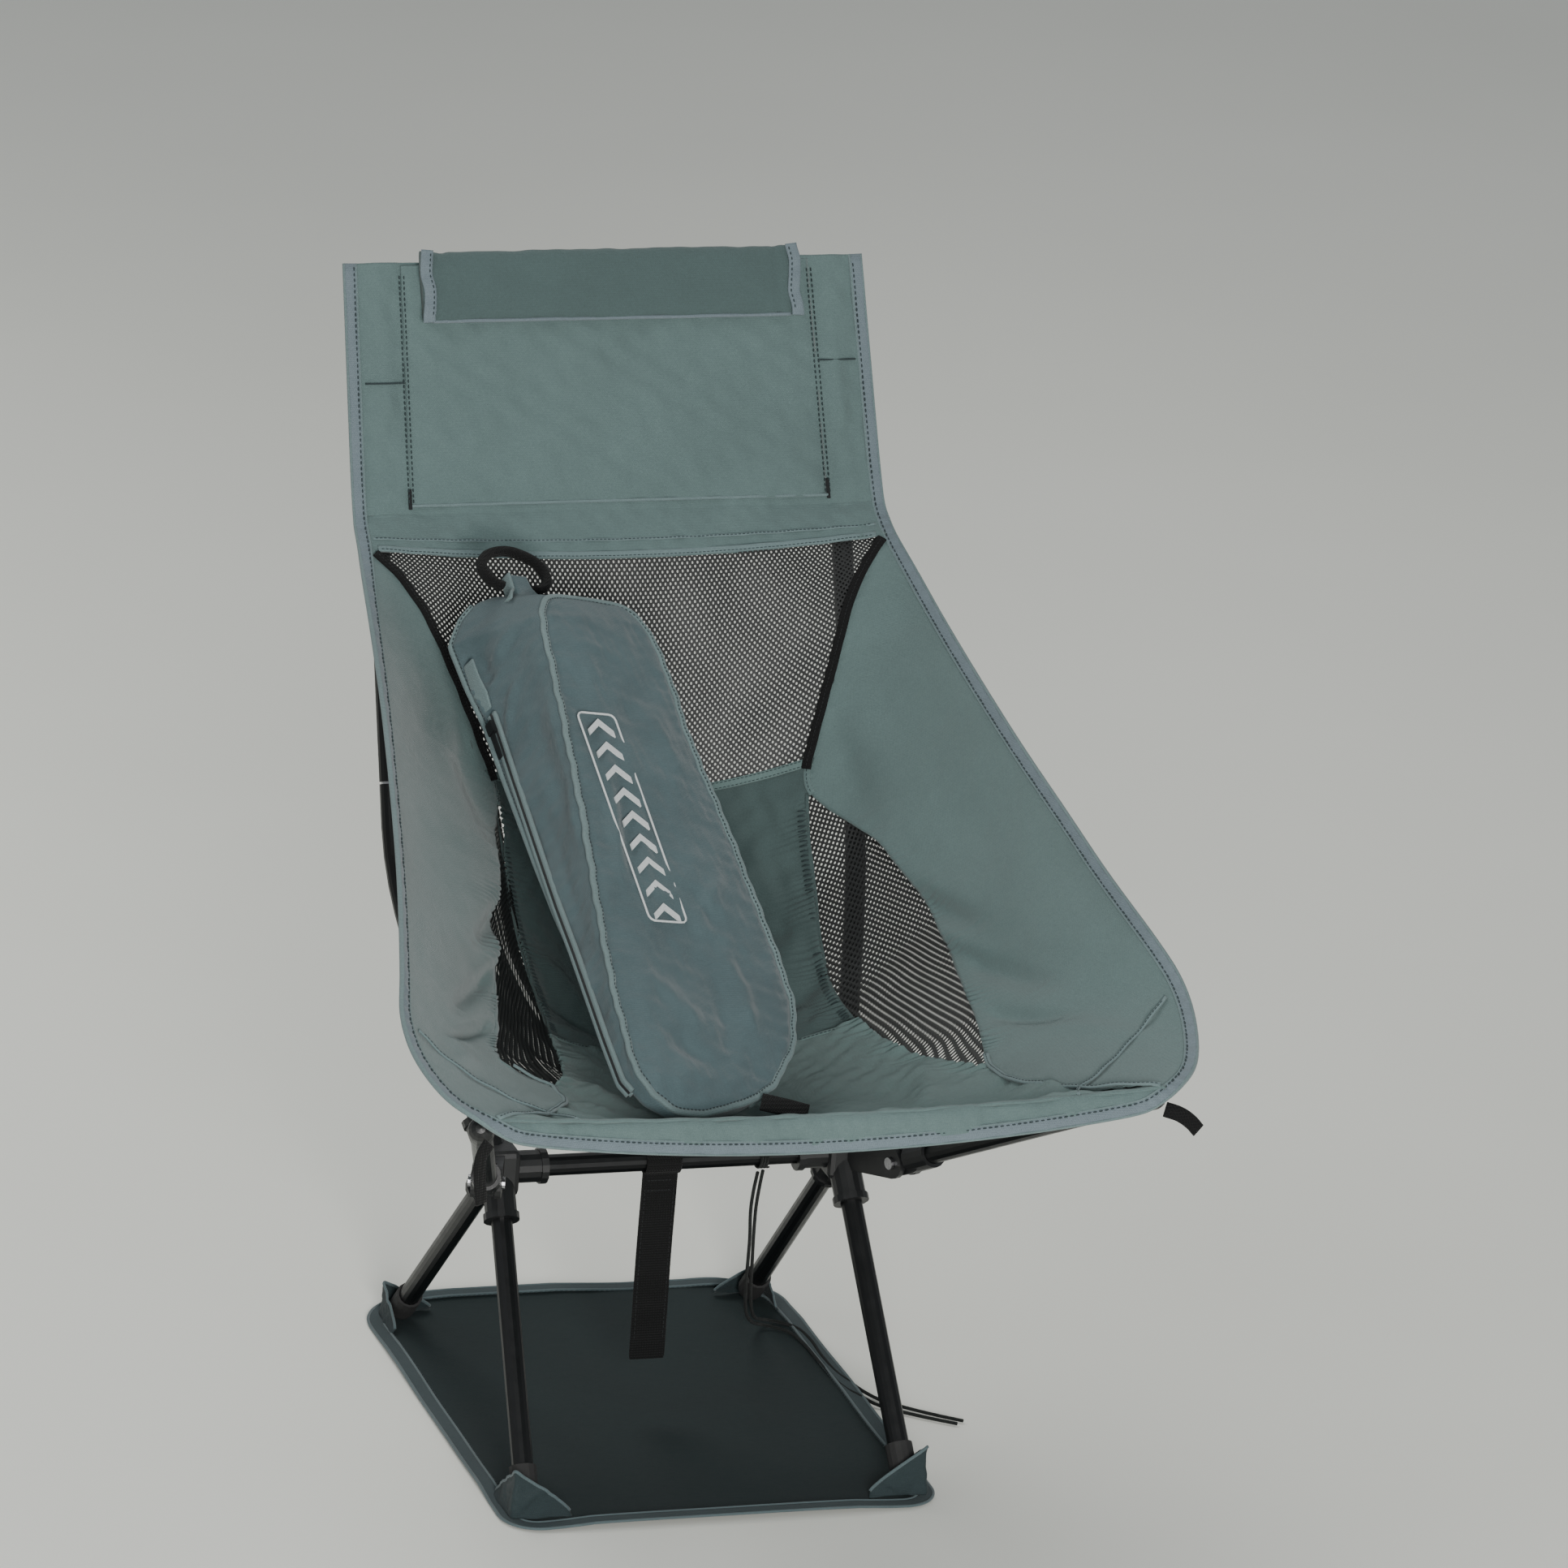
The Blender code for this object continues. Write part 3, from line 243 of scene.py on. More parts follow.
# A denser, darker copy of the side net for the left window: painted shade.
SIDE_NET_SHADED = netting("side_net_painted_shade", (0.006, 0.007, 0.007), 0.0041, 0.0041, 0.250, False)
SIDE_NET = netting("side_net", (0.009, 0.010, 0.010), 0.0041, 0.0041, 0.345, False)
TUBE = coated("tube_coating", (0.0052, 0.0058, 0.0064), 0.35, 0.38, 900.0, 0.12, (0.016, 0.017, 0.019))
PLASTIC = coated(
    "moulded_plastic", (0.0060, 0.0066, 0.0072), 0.0, 0.44, 1400.0, 0.45, (0.015, 0.015, 0.017))
RUBBER = coated(
    "foot_rubber_look", (0.013, 0.013, 0.013), 0.0, 0.82, 700.0, 0.50, (0.040, 0.039, 0.037))
STEEL = coated("pin_metal", (0.42, 0.42, 0.44), 1.0, 0.30, 500.0, 0.20, (0.20, 0.19, 0.18))
ELASTIC = textile("elastic_braid", (0.018, 0.018, 0.019), roughness=0.85, pitch=0.001, sheen=0.1)


# ------------------------------------------------------------------ mesh helpers
def new_object(name, verts, faces, material, smooth=True, uv=None):
    """A mesh object in the scene; uv gives each point its place on the flat cloth."""
    data = bpy.data.meshes.new(name)
    data.from_pydata([tuple(map(float, point)) for point in verts], [], faces)
    data.materials.append(material)
    if uv is not None:
        layer = data.uv_layers.new(name="cloth")
        corners = np.array([loop.vertex_index for loop in data.loops])
        layer.data.foreach_set("uv", np.asarray(uv, dtype=np.float32)[corners].ravel())
    if smooth:
        data.shade_smooth()
    thing = bpy.data.objects.new(name, data)
    bpy.context.scene.collection.objects.link(thing)
    return thing


def unit(vectors):
    """The same directions, one metre long."""
    return vectors / np.maximum(np.linalg.norm(vectors, axis=-1, keepdims=True), 1e-12)


def flip(values):
    """The same points or directions on the other side of the middle plane."""
    return values * np.array((-1.0, 1.0, 1.0))


def grid_faces(rows, columns, wrap=False, close=False):
    """Faces of a grid of points; wrap joins the last column to the first, close the last row."""
    faces = []
    for row in range(rows if close else rows - 1):
        start = row * columns
        following = (row + 1) % rows * columns
        for column in range(columns if wrap else columns - 1):
            after = (column + 1) % columns
            faces.append((start + column, start + after, following + after, following + column))
    return faces


def cloth(name, points, thickness, material, uv=None):
    """A thin closed sheet about a grid of points."""
    rows, columns = points.shape[:2]
    flat_uv = None if uv is None else uv.reshape(-1, 2)
    thing = new_object(
        name, points.reshape(-1, 3), grid_faces(rows, columns), material, uv=flat_uv)
    skin = thing.modifiers.new("thickness", "SOLIDIFY")
    skin.thickness = thickness
    skin.offset = 0.0
    return thing


def ring_solid(name, rings, material):
    """A closed solid through rings of points, capped at both ends."""
    rings = np.asarray(rings)
    count, sides = rings.shape[:2]
    faces = grid_faces(count, sides, wrap=True)
    faces.append(tuple(range(sides - 1, -1, -1)))
    faces.append(tuple(range((count - 1) * sides, count * sides)))
    return new_object(name, rings.reshape(-1, 3), faces, material)


def section(width, height, sides, power):
    """A rounded band's outline: places across and upward, squarer as the power falls."""
    angles = np.linspace(0.0, 2 * math.pi, sides, endpoint=False)
    across = np.sign(np.cos(angles)) * np.abs(np.cos(angles)) ** power * width / 2
    upward = np.sign(np.sin(angles)) * np.abs(np.sin(angles)) ** power * height / 2
    return across, upward


def placed_rings(path, tangent, normals, outline, scale):
    """The outline set square to the path at each of its points."""
    across = unit(np.cross(tangent, normals))
    upward = np.cross(across, tangent)
    sideways, high = outline
    return (
        path[:, None, :] + scale[:, None, None] * sideways[None, :, None] * across[:, None, :]
        + high[None, :, None] * upward[:, None, :])


def swept_rings(path, normals, width, height, sides=12, power=1.0, taper=None):
    """Rings of a flat band along a path, its flat side facing along the normals."""
    path = np.asarray(path, dtype=float)
    tangent = unit(np.gradient(path, axis=0))
    normals = np.broadcast_to(np.asarray(normals, dtype=float), path.shape)
    scale = np.ones(len(path)) if taper is None else np.asarray(taper)
    return placed_rings(path, tangent, normals, section(width, height, sides, power), scale)


def band(name, path, normals, width, height, material, sides=12, power=1.0, taper=None):
    """A flat band along an open path."""
    rings = swept_rings(path, normals, width, height, sides, power, taper)
    return ring_solid(name, rings, material)


def closed_band(name, path, normal, width, height, material, sides=12, power=0.6):
    """A flat band round a closed path."""
    tangent = unit(np.roll(path, -1, axis=0) - np.roll(path, 1, axis=0))
    normals = np.broadcast_to(np.asarray(normal, dtype=float), path.shape)
    outline = section(width, height, sides, power)
    rings = placed_rings(path, tangent, normals, outline, np.ones(len(path)))
    faces = grid_faces(len(path), sides, wrap=True, close=True)
    return new_object(name, rings.reshape(-1, 3), faces, material)


def lengths_along(path):
    """The distance along a path at each of its points."""
    return np.concatenate(([0.0], np.cumsum(np.linalg.norm(np.diff(path, axis=0), axis=1))))


def read_off(values, lengths, places):
    """Rows of values between those given at lengths along a path."""
    return np.stack([np.interp(places, lengths, column) for column in values.T], axis=1)


def resample(path, step):
    """The path's points at even spacing of about step."""
    path = np.asarray(path, dtype=float)
    lengths = lengths_along(path)
    count = max(2, int(round(lengths[-1] / step)) + 1)
    return read_off(path, lengths, np.linspace(0.0, lengths[-1], count))


def eased(before, start, end, after, share):
    """A Catmull-Rom curve's point between start and end."""
    square = share * share
    cube = square * share
    return (
        start * (2 * cube - 3 * square + 1) + end * (3 * square - 2 * cube)
        + (end - before) / 2 * (cube - 2 * square + share) + (after - start) / 2 * (cube - square))


def smooth_path(points, step):
    """A Catmull-Rom curve through the points, sampled about every step."""
    points = np.asarray(points, dtype=float)
    padded = np.vstack((2 * points[0] - points[1], points, 2 * points[-1] - points[-2]))
    route = []
    for corners in zip(padded, padded[1:], padded[2:], padded[3:]):
        route += [eased(*corners, share) for share in np.linspace(0.0, 1.0, 12, endpoint=False)]
    route.append(points[-1])
    return resample(route, step)


def smoothed(values, before, after):
    """Values run together by a soft kernel as long as what continues them before and after."""
    kernel = np.hanning(len(before) + len(after) + 1)
    kernel /= kernel.sum()
    padded = np.concatenate((before, values, after))
    if padded.ndim == 1:
        return np.convolve(padded, kernel, mode="valid")
    return np.stack([np.convolve(column, kernel, mode="valid") for column in padded.T], axis=1)


def smoothed_on(values, count):
    """Values smoothed as if they ran straight on by count values at both ends."""
    before = 2 * values[0] - values[count:0:-1]
    after = 2 * values[-1] - values[-2:-2 - count:-1]
    return smoothed(values, before, after)


def stitch_boxes(
        path, normals, pitch=0.0036, length=0.0025, width=0.0008, lift=0.0006, rise=None):
    """Corners of small thread dashes along a path, each as high as it is wide unless rise is given."""
    path = np.asarray(path, dtype=float)
    lengths = lengths_along(path)
    normals = np.broadcast_to(np.asarray(normals, dtype=float), path.shape)
    places = np.arange(pitch, lengths[-1] - pitch, pitch)
    centre = read_off(path, lengths, places)
    ahead = read_off(path, lengths, places + 0.0004)
    normal = unit(read_off(normals, lengths, places))
    tangent = unit(ahead - centre)
    across = unit(np.cross(normal, tangent))
    rise = rise or width
    boxes = []
    for point, forward, side, upward in zip(centre + normal * lift, tangent, across, normal):
        box = []
        for end, squeeze in ((-1, 0.55), (-0.4, 1.0), (0.4, 1.0), (1, 0.55)):
            for a, b in ((-1, -0.5), (1, -0.5), (0.6, 0.5), (-0.6, 0.5)):
                box.append(
                    point + forward * end * length / 2 + side * a * squeeze * width / 2
                    + upward * b * squeeze * rise)
        boxes.append(box)
    return boxes


def stitch_object(name, boxes, material):
    """All the dashes of one thread as a single object."""
    walls = grid_faces(4, 4, wrap=True)
    faces = []
    for base in range(0, 16 * len(boxes), 16):
        faces += [tuple(base + corner for corner in wall) for wall in walls]
        faces.append((base + 3, base + 2, base + 1, base))
        faces.append((base + 12, base + 13, base + 14, base + 15))
    return new_object(name, [corner for box in boxes for corner in box], faces, material)


WAVES = 9


def undulation(points, seed, size):
    """Smooth random height between about -1 and 1 with features of the given size."""
    random = np.random.default_rng(seed)
    total = np.zeros(points.shape[:-1])
    for _ in range(WAVES):
        direction = unit(random.normal(size=3))
        turns = 2 * math.pi / size * random.uniform(0.55, 1.45)
        total += np.sin(points @ direction * turns + random.uniform(0.0, 2 * math.pi))
    return total / math.sqrt(WAVES)


def put(piece, body, slot, *nodes):
    """The piece rides on a body and stands for the CAD nodes; slot is not used."""
    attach(piece, body)
    if nodes:
        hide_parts(*nodes)
    return piece


def both_sides():
    """The sign and the label of the right side and of the left side."""
    return ((1, "right"), (-1, "left"))


# ------------------------------------------------------------------ cords
CORD_ROUTES = {
    "cord_near": (
        (0.0770, -0.0020, 0.2170), (0.0760, 0.0020, 0.1990), (0.0765, 0.0070, 0.1780),
        (0.0800, 0.0140, 0.1520), (0.0845, 0.0270, 0.1240), (0.0930, 0.0520, 0.0930),
        (0.1070, 0.0900, 0.0580), (0.1230, 0.1290, 0.0290), (0.1380, 0.1540, 0.0110),
        (0.1530, 0.1590, 0.0053), (0.1670, 0.1440, 0.0050), (0.1720, 0.1180, 0.0050),
        (0.1730, 0.0850, 0.0050), (0.1745, 0.0450, 0.0050), (0.1785, 0.0180, 0.0052),
        (0.1850, 0.0020, 0.0055), (0.1930, -0.0095, 0.0034), (0.2040, -0.0205, 0.0020),
        (0.2180, -0.0330, 0.0020), (0.2340, -0.0460, 0.0020), (0.2520, -0.0590, 0.0020)),
    "cord_far": (
        (0.0825, 0.0010, 0.2170), (0.0822, 0.0060, 0.1990), (0.0825, 0.0115, 0.1780),
        (0.0850, 0.0190, 0.1520), (0.0900, 0.0320, 0.1240), (0.0990, 0.0570, 0.0930),
        (0.1130, 0.0940, 0.0590), (0.1290, 0.1340, 0.0300), (0.1430, 0.1620, 0.0115),
        (0.1600, 0.1690, 0.0053), (0.1760, 0.1530, 0.0050), (0.1805, 0.1250, 0.0050),
        (0.1795, 0.0900, 0.0050), (0.1805, 0.0560, 0.0052), (0.1850, 0.0340, 0.0055),
        (0.1925, 0.0150, 0.0035), (0.2010, 0.0010, 0.0020), (0.2110, -0.0120, 0.0020),
        (0.2250, -0.0260, 0.0020), (0.2410, -0.0400, 0.0020), (0.2590, -0.0540, 0.0020)),
}
CORD_DIAMETER = 0.003
CORD_SPACING = 0.0026
CROSSBAR_HEIGHT = 0.232
KNOT_RADIUS = 0.0111
KNOT_START = 0.0751
KNOT_TURNS = 3.6


def make_cords():
    """Two strands of flat tie cord as smooth curves, and the turns of cord on the crossbar."""
    for name, points in CORD_ROUTES.items():
        route = smooth_path(points, 0.007)
        data = bpy.data.curves.new(name + "_strand", "CURVE")
        data.dimensions = "3D"
        data.bevel_depth = CORD_DIAMETER / 2
        data.bevel_resolution = 3
        data.use_fill_caps = True
        spline = data.splines.new("POLY")
        spline.points.add(len(route) - 1)
        for target, point in zip(spline.points, route):
            target.co = (*point, 1.0)
        data.materials.append(CORD)
        strand = bpy.data.objects.new(name + "_strand", data)
        bpy.context.scene.collection.objects.link(strand)
        put(strand, "frame", "black_cord", name)
        length = float(lengths_along(route)[-1])
        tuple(points[0])
    angles = np.linspace(0.0, 2 * math.pi * KNOT_TURNS, 130)
    outward = np.stack((np.zeros(130), np.sin(angles), np.cos(angles)), axis=1)
    turns = outward * KNOT_RADIUS + np.array((0.0, 0.0, CROSSBAR_HEIGHT))
    turns[:, 0] = KNOT_START + CORD_SPACING * angles / (2 * math.pi)
    knot = band("cord_turns", turns, outward, 0.0026, 0.0016, CORD, 8)
    put(knot, "frame", "black_cord", "cord_knot")


make_cords()


# ------------------------------------------------------------------ sling surface
STATIONS = np.array((  # centre line's y and z, rim's x, y and z, from the front hem to the top
    (-0.386, 0.400, 0.258, -0.398, 0.424), (-0.378, 0.421, 0.283, -0.392, 0.437),
    (-0.340, 0.396, 0.306, -0.369, 0.447), (-0.275, 0.376, 0.320, -0.325, 0.463),
    (-0.190, 0.357, 0.322, -0.285, 0.482), (-0.100, 0.343, 0.313, -0.245, 0.502),
    (-0.010, 0.338, 0.296, -0.170, 0.531), (0.065, 0.362, 0.282, -0.100, 0.560),
    (0.115, 0.410, 0.268, -0.025, 0.589), (0.148, 0.472, 0.255, 0.050, 0.620),
    (0.167, 0.530, 0.244, 0.122, 0.650), (0.192, 0.605, 0.235, 0.185, 0.678),
    (0.228, 0.690, 0.228, 0.230, 0.699), (0.252, 0.718, 0.226, 0.258, 0.716),
    (0.349, 0.908, 0.221, 0.349, 0.908),
))
TOP = len(STATIONS) - 1
BEND = TOP - 1
OUTER_SEAM = (  # station, share of the half width
    (1.05, 0.970), (2.05, 0.720), (2.55, 0.655), (3.00, 0.585), (3.70, 0.570),
    (4.90, 0.640), (5.65, 0.680), (6.40, 0.710), (7.20, 0.710), (7.90, 0.685),
    (8.50, 0.600), (8.90, 0.530), (9.20, 0.540), (9.95, 0.630), (10.50, 0.710),
    (11.10, 0.800), (11.80, 0.970),
)
INNER_SEAM = (
    (3.70, 0.570), (4.20, 0.500), (4.60, 0.470), (5.20, 0.440), (6.40, 0.435),
    (7.10, 0.460), (7.80, 0.490), (8.50, 0.510), (8.90, 0.530),
)
MESH_BOTTOM = 9.45
MESH_TOP = 11.90
MESH_SAG = 0.17
MESH_END_SHARE = 0.565
SEAT_SEAM = 5.70
NET_LEVEL = np.array((0.66, -0.88))  # the way the side nets' rows run, seen from above
NET_STEEPNESS = 1.15
SLACK_BULGE = (  # station, how far the left wing bellies out
    (3.6, 0.0), (4.6, 0.002), (5.4, 0.009), (6.2, 0.016), (7.2, 0.019), (8.0, 0.018), (8.7, 0.008),
    (9.3, 0.0),
)
SLACK_SHIFT = (  # station, how far the left window's loose edge moves, as a share
    (3.72, 0.0), (4.15, -0.105), (4.6, -0.080), (5.1, -0.030), (5.6, 0.0), (6.2, 0.022),
    (7.6, 0.034), (8.4, 0.012), (8.9, 0.0),
)


def station(value):
    """The sling's measures at a station between those given."""
    index = min(int(value), TOP - 1)
    share = value - index
    start = STATIONS[index]
    end = STATIONS[index + 1]
    if index >= BEND - 1:
        return start + (end - start) * share
    return eased(STATIONS[max(index - 1, 0)], start, end, STATIONS[index + 2], share)


DENSE_PLACES = np.linspace(0.0, TOP, 1401)
DENSE = np.array([station(place) for place in DENSE_PLACES])


def surface(across, place):
    """Points of the sling for arrays of share across and station."""
    columns = [np.interp(place, DENSE_PLACES, DENSE[:, index]) for index in range(5)]
    centre_y, centre_z, rim_x, rim_y, rim_z = columns
    rise = across * across
    along = centre_y + (rim_y - centre_y) * rise
    height = centre_z + (rim_z - centre_z) * rise
    return np.stack((rim_x * across, along, height), axis=-1)


def surface_normal(across, place):
    """Unit normals of the sling on the sitter's side."""
    step = 0.01
    sideways = surface(across + step, place) - surface(across - step, place)
    ahead = surface(across, np.minimum(place + step, TOP))
    lengthways = ahead - surface(across, np.maximum(place - step, 0.0))
    return unit(np.cross(sideways, lengthways))


def smooth_seam(line):
    """A seam's shares at closely spaced stations, with its corners rounded off."""
    places, shares = zip(*line)
    dense = np.linspace(places[0], places[-1], 400)
    return dense, smoothed_on(np.interp(dense, places, shares), 15)


OUTER = smooth_seam(OUTER_SEAM)
INNER = smooth_seam(INNER_SEAM)


def outer_seam(place):
    """Where the seat panels' outer seam lies across the sling."""
    return np.interp(place, *OUTER)


def inner_seam(place):
    """Where the wings' inner seam lies across the sling."""
    return np.interp(place, *INNER)


def seam_length(line):
    """Length in metres along a seam from its lower end, at its own stations."""
    dense, shares = line
    return dense, lengths_along(surface(shares, dense))


OUTER_LENGTH = seam_length(OUTER)
INNER_LENGTH = seam_length(INNER)


def width_at(place):
    """Half the sling's width at a station."""
    return np.interp(place, DENSE_PLACES, DENSE[:, 2])


def cloth_uv(across, place):
    """Flat cloth coordinates in metres: across the sling and along it."""
    run = lengths_along(surface(np.full_like(DENSE_PLACES, 0.55), DENSE_PLACES))
    along = np.interp(place, DENSE_PLACES, run)
    return np.stack((across * width_at(place) * 1.12, along), axis=-1)


def ruffle(length, depth, seed, pitch, reach):
    """Gathers beside a seam: ridges square to it that die away with depth, between 0 and 1."""
    random = np.random.default_rng(seed)
    phase = 2 * math.pi * length / pitch
    for scale in (0.031, 0.047, 0.083):
        phase = phase + 1.4 * np.sin(2 * math.pi * length / scale + random.uniform(0.0, 6.28))
    strength = 0.55 + 0.45 * np.sin(2 * math.pi * length / 0.061 + random.uniform(0.0, 6.28))
    ridge = (0.5 + 0.5 * np.sin(phase)) ** 1.4
    return ridge * strength * np.exp(-np.maximum(depth, 0.0) / reach)


def ridge(here, start, end, width, height):
    """A soft ridge along a line between two points of a plane, dying away to its ends."""
    line = end - start
    share = np.clip(((here - start) @ line) / (line @ line), 0.0, 1.0)
    gap = np.linalg.norm(here - start - share[..., None] * line, axis=-1)
    return share, height * np.exp(-(gap / width) ** 2)


def folds(across, place, rows):
    """Soft creases along lines between (share, station) points, hollows where the height is negative."""
    scale = np.array((0.27, 0.068))
    here = np.stack((across, place), axis=-1) * scale
    total = 0.0
    for start, end, width, height in rows:
        share, swell = ridge(here, np.array(start) * scale, np.array(end) * scale, width, height)
        total = total + swell * np.sin(np.pi * np.clip(share, 0.03, 0.97)) ** 0.6
    return total


def twin_folds(across, place, rows):
    """The same creases on both halves of the sling."""
    return folds(across, place, rows) + folds(-across, place, rows)


def left_edge_share(place):
    """Where the left wing's loose inner edge lies, as a share across."""
    return outer_seam(place) - np.interp(place, *zip(*SLACK_SHIFT))


def left_bulge(across, place):
    """How far the slack cloth beside the left window bellies towards the sitter."""
    across = np.abs(across)
    inner = inner_seam(place)
    edge = left_edge_share(place)
    window = np.clip((across - inner) / np.maximum(edge - inner, 0.02), 0.0, 1.0)
    beyond = np.clip((0.985 - across) / (0.985 - edge), 0.0, 1.0)
    share = np.where(across < edge, window, beyond * beyond * (3 - 2 * beyond))
    return np.interp(place, *zip(*SLACK_BULGE)) * share


def side_cloth(name, across, place, relief, lift, thickness, material, slot, *nodes):
    """One panel on the right and its mirror image on the left, each with its own wrinkles."""
    for side, label in both_sides():
        shares = across
        height = lift
        if side < 0:
            pull = np.interp(place, *zip(*SLACK_SHIFT))
            weight = np.clip((1.0 - across) / (1.0 - outer_seam(place)), 0.0, 1.0)
            inside = np.clip((across - inner_seam(place)) / 0.05, 0.0, 1.0)
            shares = across - pull * weight * inside
            height = lift + left_bulge(shares, place)
        points = surface(shares, place)
        normals = surface_normal(shares, place)
        points = points + normals * (height + relief(across, place, points, side))[..., None]
        look = material
        uv = cloth_uv(across, place)
        if material is SIDE_NET:
            level = points[..., :2] @ NET_LEVEL
            uv = np.stack((level, points[..., 2] * NET_STEEPNESS), axis=-1)
            # The left window gets the denser, darker net copy: painted shade.
            look = SIDE_NET if side > 0 else SIDE_NET_SHADED
        if side < 0:
            points = flip(points[:, ::-1])
            uv = uv[:, ::-1] * np.array((-1.0, 1.0))
        piece = cloth(f"{name}_{label}", points, thickness, look, uv)
        put(piece, "sling", slot, *(f"{node}_{label}" for node in nodes))


def centre_cloth(name, across, place, relief, lift, thickness, material, slot, *nodes):
    """One panel across the middle of the sling."""
    points = surface(across, place)
    normals = surface_normal(across, place)
    points = points + normals * (lift + relief(across, place, points))[..., None]
    piece = cloth(name, points, thickness, material, cloth_uv(across, place))
    put(piece, "sling", slot, *nodes)


def patch(low, high, rows, inner, outer, columns):
    """Shares across and stations of a panel between two seams."""
    places = np.linspace(low, high, rows)
    start = np.array([float(inner(place)) for place in places])
    end = np.array([float(outer(place)) for place in places])
    steps = np.linspace(0.0, 1.0, columns)
    across = start[:, None] + (end - start)[:, None] * steps[None, :]
    return across, np.repeat(places[:, None], columns, axis=1)


# ------------------------------------------------------------------ sling panels
# Creases: start and end as (share, station), width and height in metres.
WING_FOLDS = (
    ((0.62, 9.2), (0.93, 5.2), 0.030, 0.0080), ((0.60, 8.7), (0.80, 6.2), 0.010, 0.0035),
    ((0.690, 7.2), (0.775, 6.3), 0.0075, -0.0075), ((0.690, 6.2), (0.800, 5.1), 0.0085, -0.0085),
    ((0.690, 6.7), (0.760, 5.8), 0.0070, 0.0045), ((0.650, 5.2), (0.780, 4.3), 0.0080, -0.0072),
    ((0.640, 9.9), (0.655, 8.2), 0.0150, -0.0070),
)
WING_CORNER_FOLDS = (
    ((0.92, 3.0), (0.74, 4.4), 0.009, 0.0025), ((0.70, 10.6), (0.88, 8.6), 0.022, -0.0040),
)
SEAT_BACK_FOLDS = (
    ((0.40, 7.2), (0.22, 6.1), 0.008, 0.0070), ((0.42, 6.6), (0.16, 5.9), 0.009, -0.0065),
    ((0.38, 8.4), (0.15, 7.6), 0.010, 0.0055), ((0.44, 6.1), (0.30, 5.8), 0.006, 0.0035),
)
SEAT_BASE_FOLDS = (
    ((0.46, 4.3), (0.33, 2.3), 0.010, 0.0060), ((0.56, 3.5), (0.50, 2.2), 0.012, -0.0040),
    ((0.66, 2.5), (0.60, 1.5), 0.010, 0.0030),
)
UPPER_FOLDS = (
    ((0.92, 13.30), (0.86, 13.55), 0.006, 0.0016), ((0.84, 13.10), (0.95, 13.40), 0.008, -0.0016),
)
POCKET_FOLDS = (
    ((-0.62, 13.20), (-0.40, 13.50), 0.007, 0.0016), ((-0.20, 13.62), (0.15, 13.40), 0.014, 0.0010),
    ((0.30, 13.20), (0.66, 13.50), 0.014, -0.0008),
)


def wing_relief(across, place, points, side):
    """Gathers along the outer seam, mostly beside the window, and the wing's own folds."""
    depth = (across - outer_seam(place)) * width_at(place)
    length = np.interp(place, *OUTER_LENGTH)
    window = np.clip((place - 3.9) / 0.4, 0.0, 1.0) * np.clip((7.9 - place) / 0.5, 0.0, 1.0)
    height = 0.0030 * window * ruffle(length, depth, 5 + side, 0.0062, 0.0080)
    height += 0.0009 * (1 - window) * ruffle(length, depth, 8 + side, 0.011, 0.007)
    height += folds(across, place, WING_FOLDS)
    near_hem = np.clip((depth - 0.003) / 0.008, 0.0, 1.0)
    height = np.where(height < 0.0, height * near_hem, height)
    height += folds(across, place, WING_CORNER_FOLDS)
    height += 0.0014 * undulation(points, 11 + side, 0.110)
    height += 0.00018 * undulation(points, 21 + side, 0.026)
    return height * np.clip((1.0 - across) / 0.06, 0.0, 1.0)


def seat_back_relief(across, place, points):
    """Gathers along the inner seams and folds over the seat's back part."""
    depth = (inner_seam(place) - np.abs(across)) * width_at(place)
    length = np.interp(place, *INNER_LENGTH)
    height = 0.0036 * ruffle(length + 0.013 * np.sign(across), depth, 31, 0.0052, 0.0100)
    height += twin_folds(across, place, SEAT_BACK_FOLDS)
    return height + 0.0022 * undulation(points, 33, 0.060) + 0.0008 * undulation(points, 34, 0.018)


def base_seam(place):
    """The seam that bounds the seat's base: the outer one, then the inner one."""
    return np.where(place < 3.7, outer_seam(place), inner_seam(np.maximum(place, 3.7)))


def seat_base_relief(across, place, points):
    """Gathers beside the window and folds over the seat's base, flat at its front hem."""
    depth = (base_seam(place) - np.abs(across)) * width_at(place)
    window = np.clip((place - 3.4) / 0.4, 0.0, 1.0)
    length = np.interp(place, *OUTER_LENGTH)
    height = 0.0044 * window * ruffle(length + 0.01 * np.sign(across), depth, 41, 0.0075, 0.010)
    height += twin_folds(across, place, SEAT_BASE_FOLDS)
    height += 0.0020 * undulation(points, 43, 0.070) + 0.0007 * undulation(points, 44, 0.020)
    return height * np.clip((place - 1.0) / 0.25, 0.15, 1.0)


def upper_relief(across, place, points):
    """The panel swells a little over the poles in its sleeves."""
    bulge = np.clip(1.0 - np.abs(np.abs(across) - 0.895) / 0.075, 0.0, 1.0)
    height = 0.0020 * np.sin(bulge * math.pi / 2) ** 2 * np.clip((place - 12.9) * 6, 0.0, 1.0)
    height += 0.0011 * undulation(points, 51, 0.060) + 0.0005 * undulation(points, 52, 0.017)
    return height + twin_folds(across, place, UPPER_FOLDS)


def pocket_relief(across, place, points):
    """The pocket panel swells inside its seams."""
    edge = np.minimum((0.80 - np.abs(across)) / 0.10, (place - 13.04) / 0.10)
    height = 0.0030 * np.clip(edge, 0.0, 1.0) ** 0.6
    height += 0.0008 * undulation(points, 55, 0.085) + 0.0006 * undulation(points, 56, 0.026)
    return height + folds(across, place, POCKET_FOLDS)


def hem_relief(across, place, points):
    """Slight waves of the hem."""
    return 0.0012 * undulation(points, 61, 0.055) + 0.0004 * undulation(points, 62, 0.016)


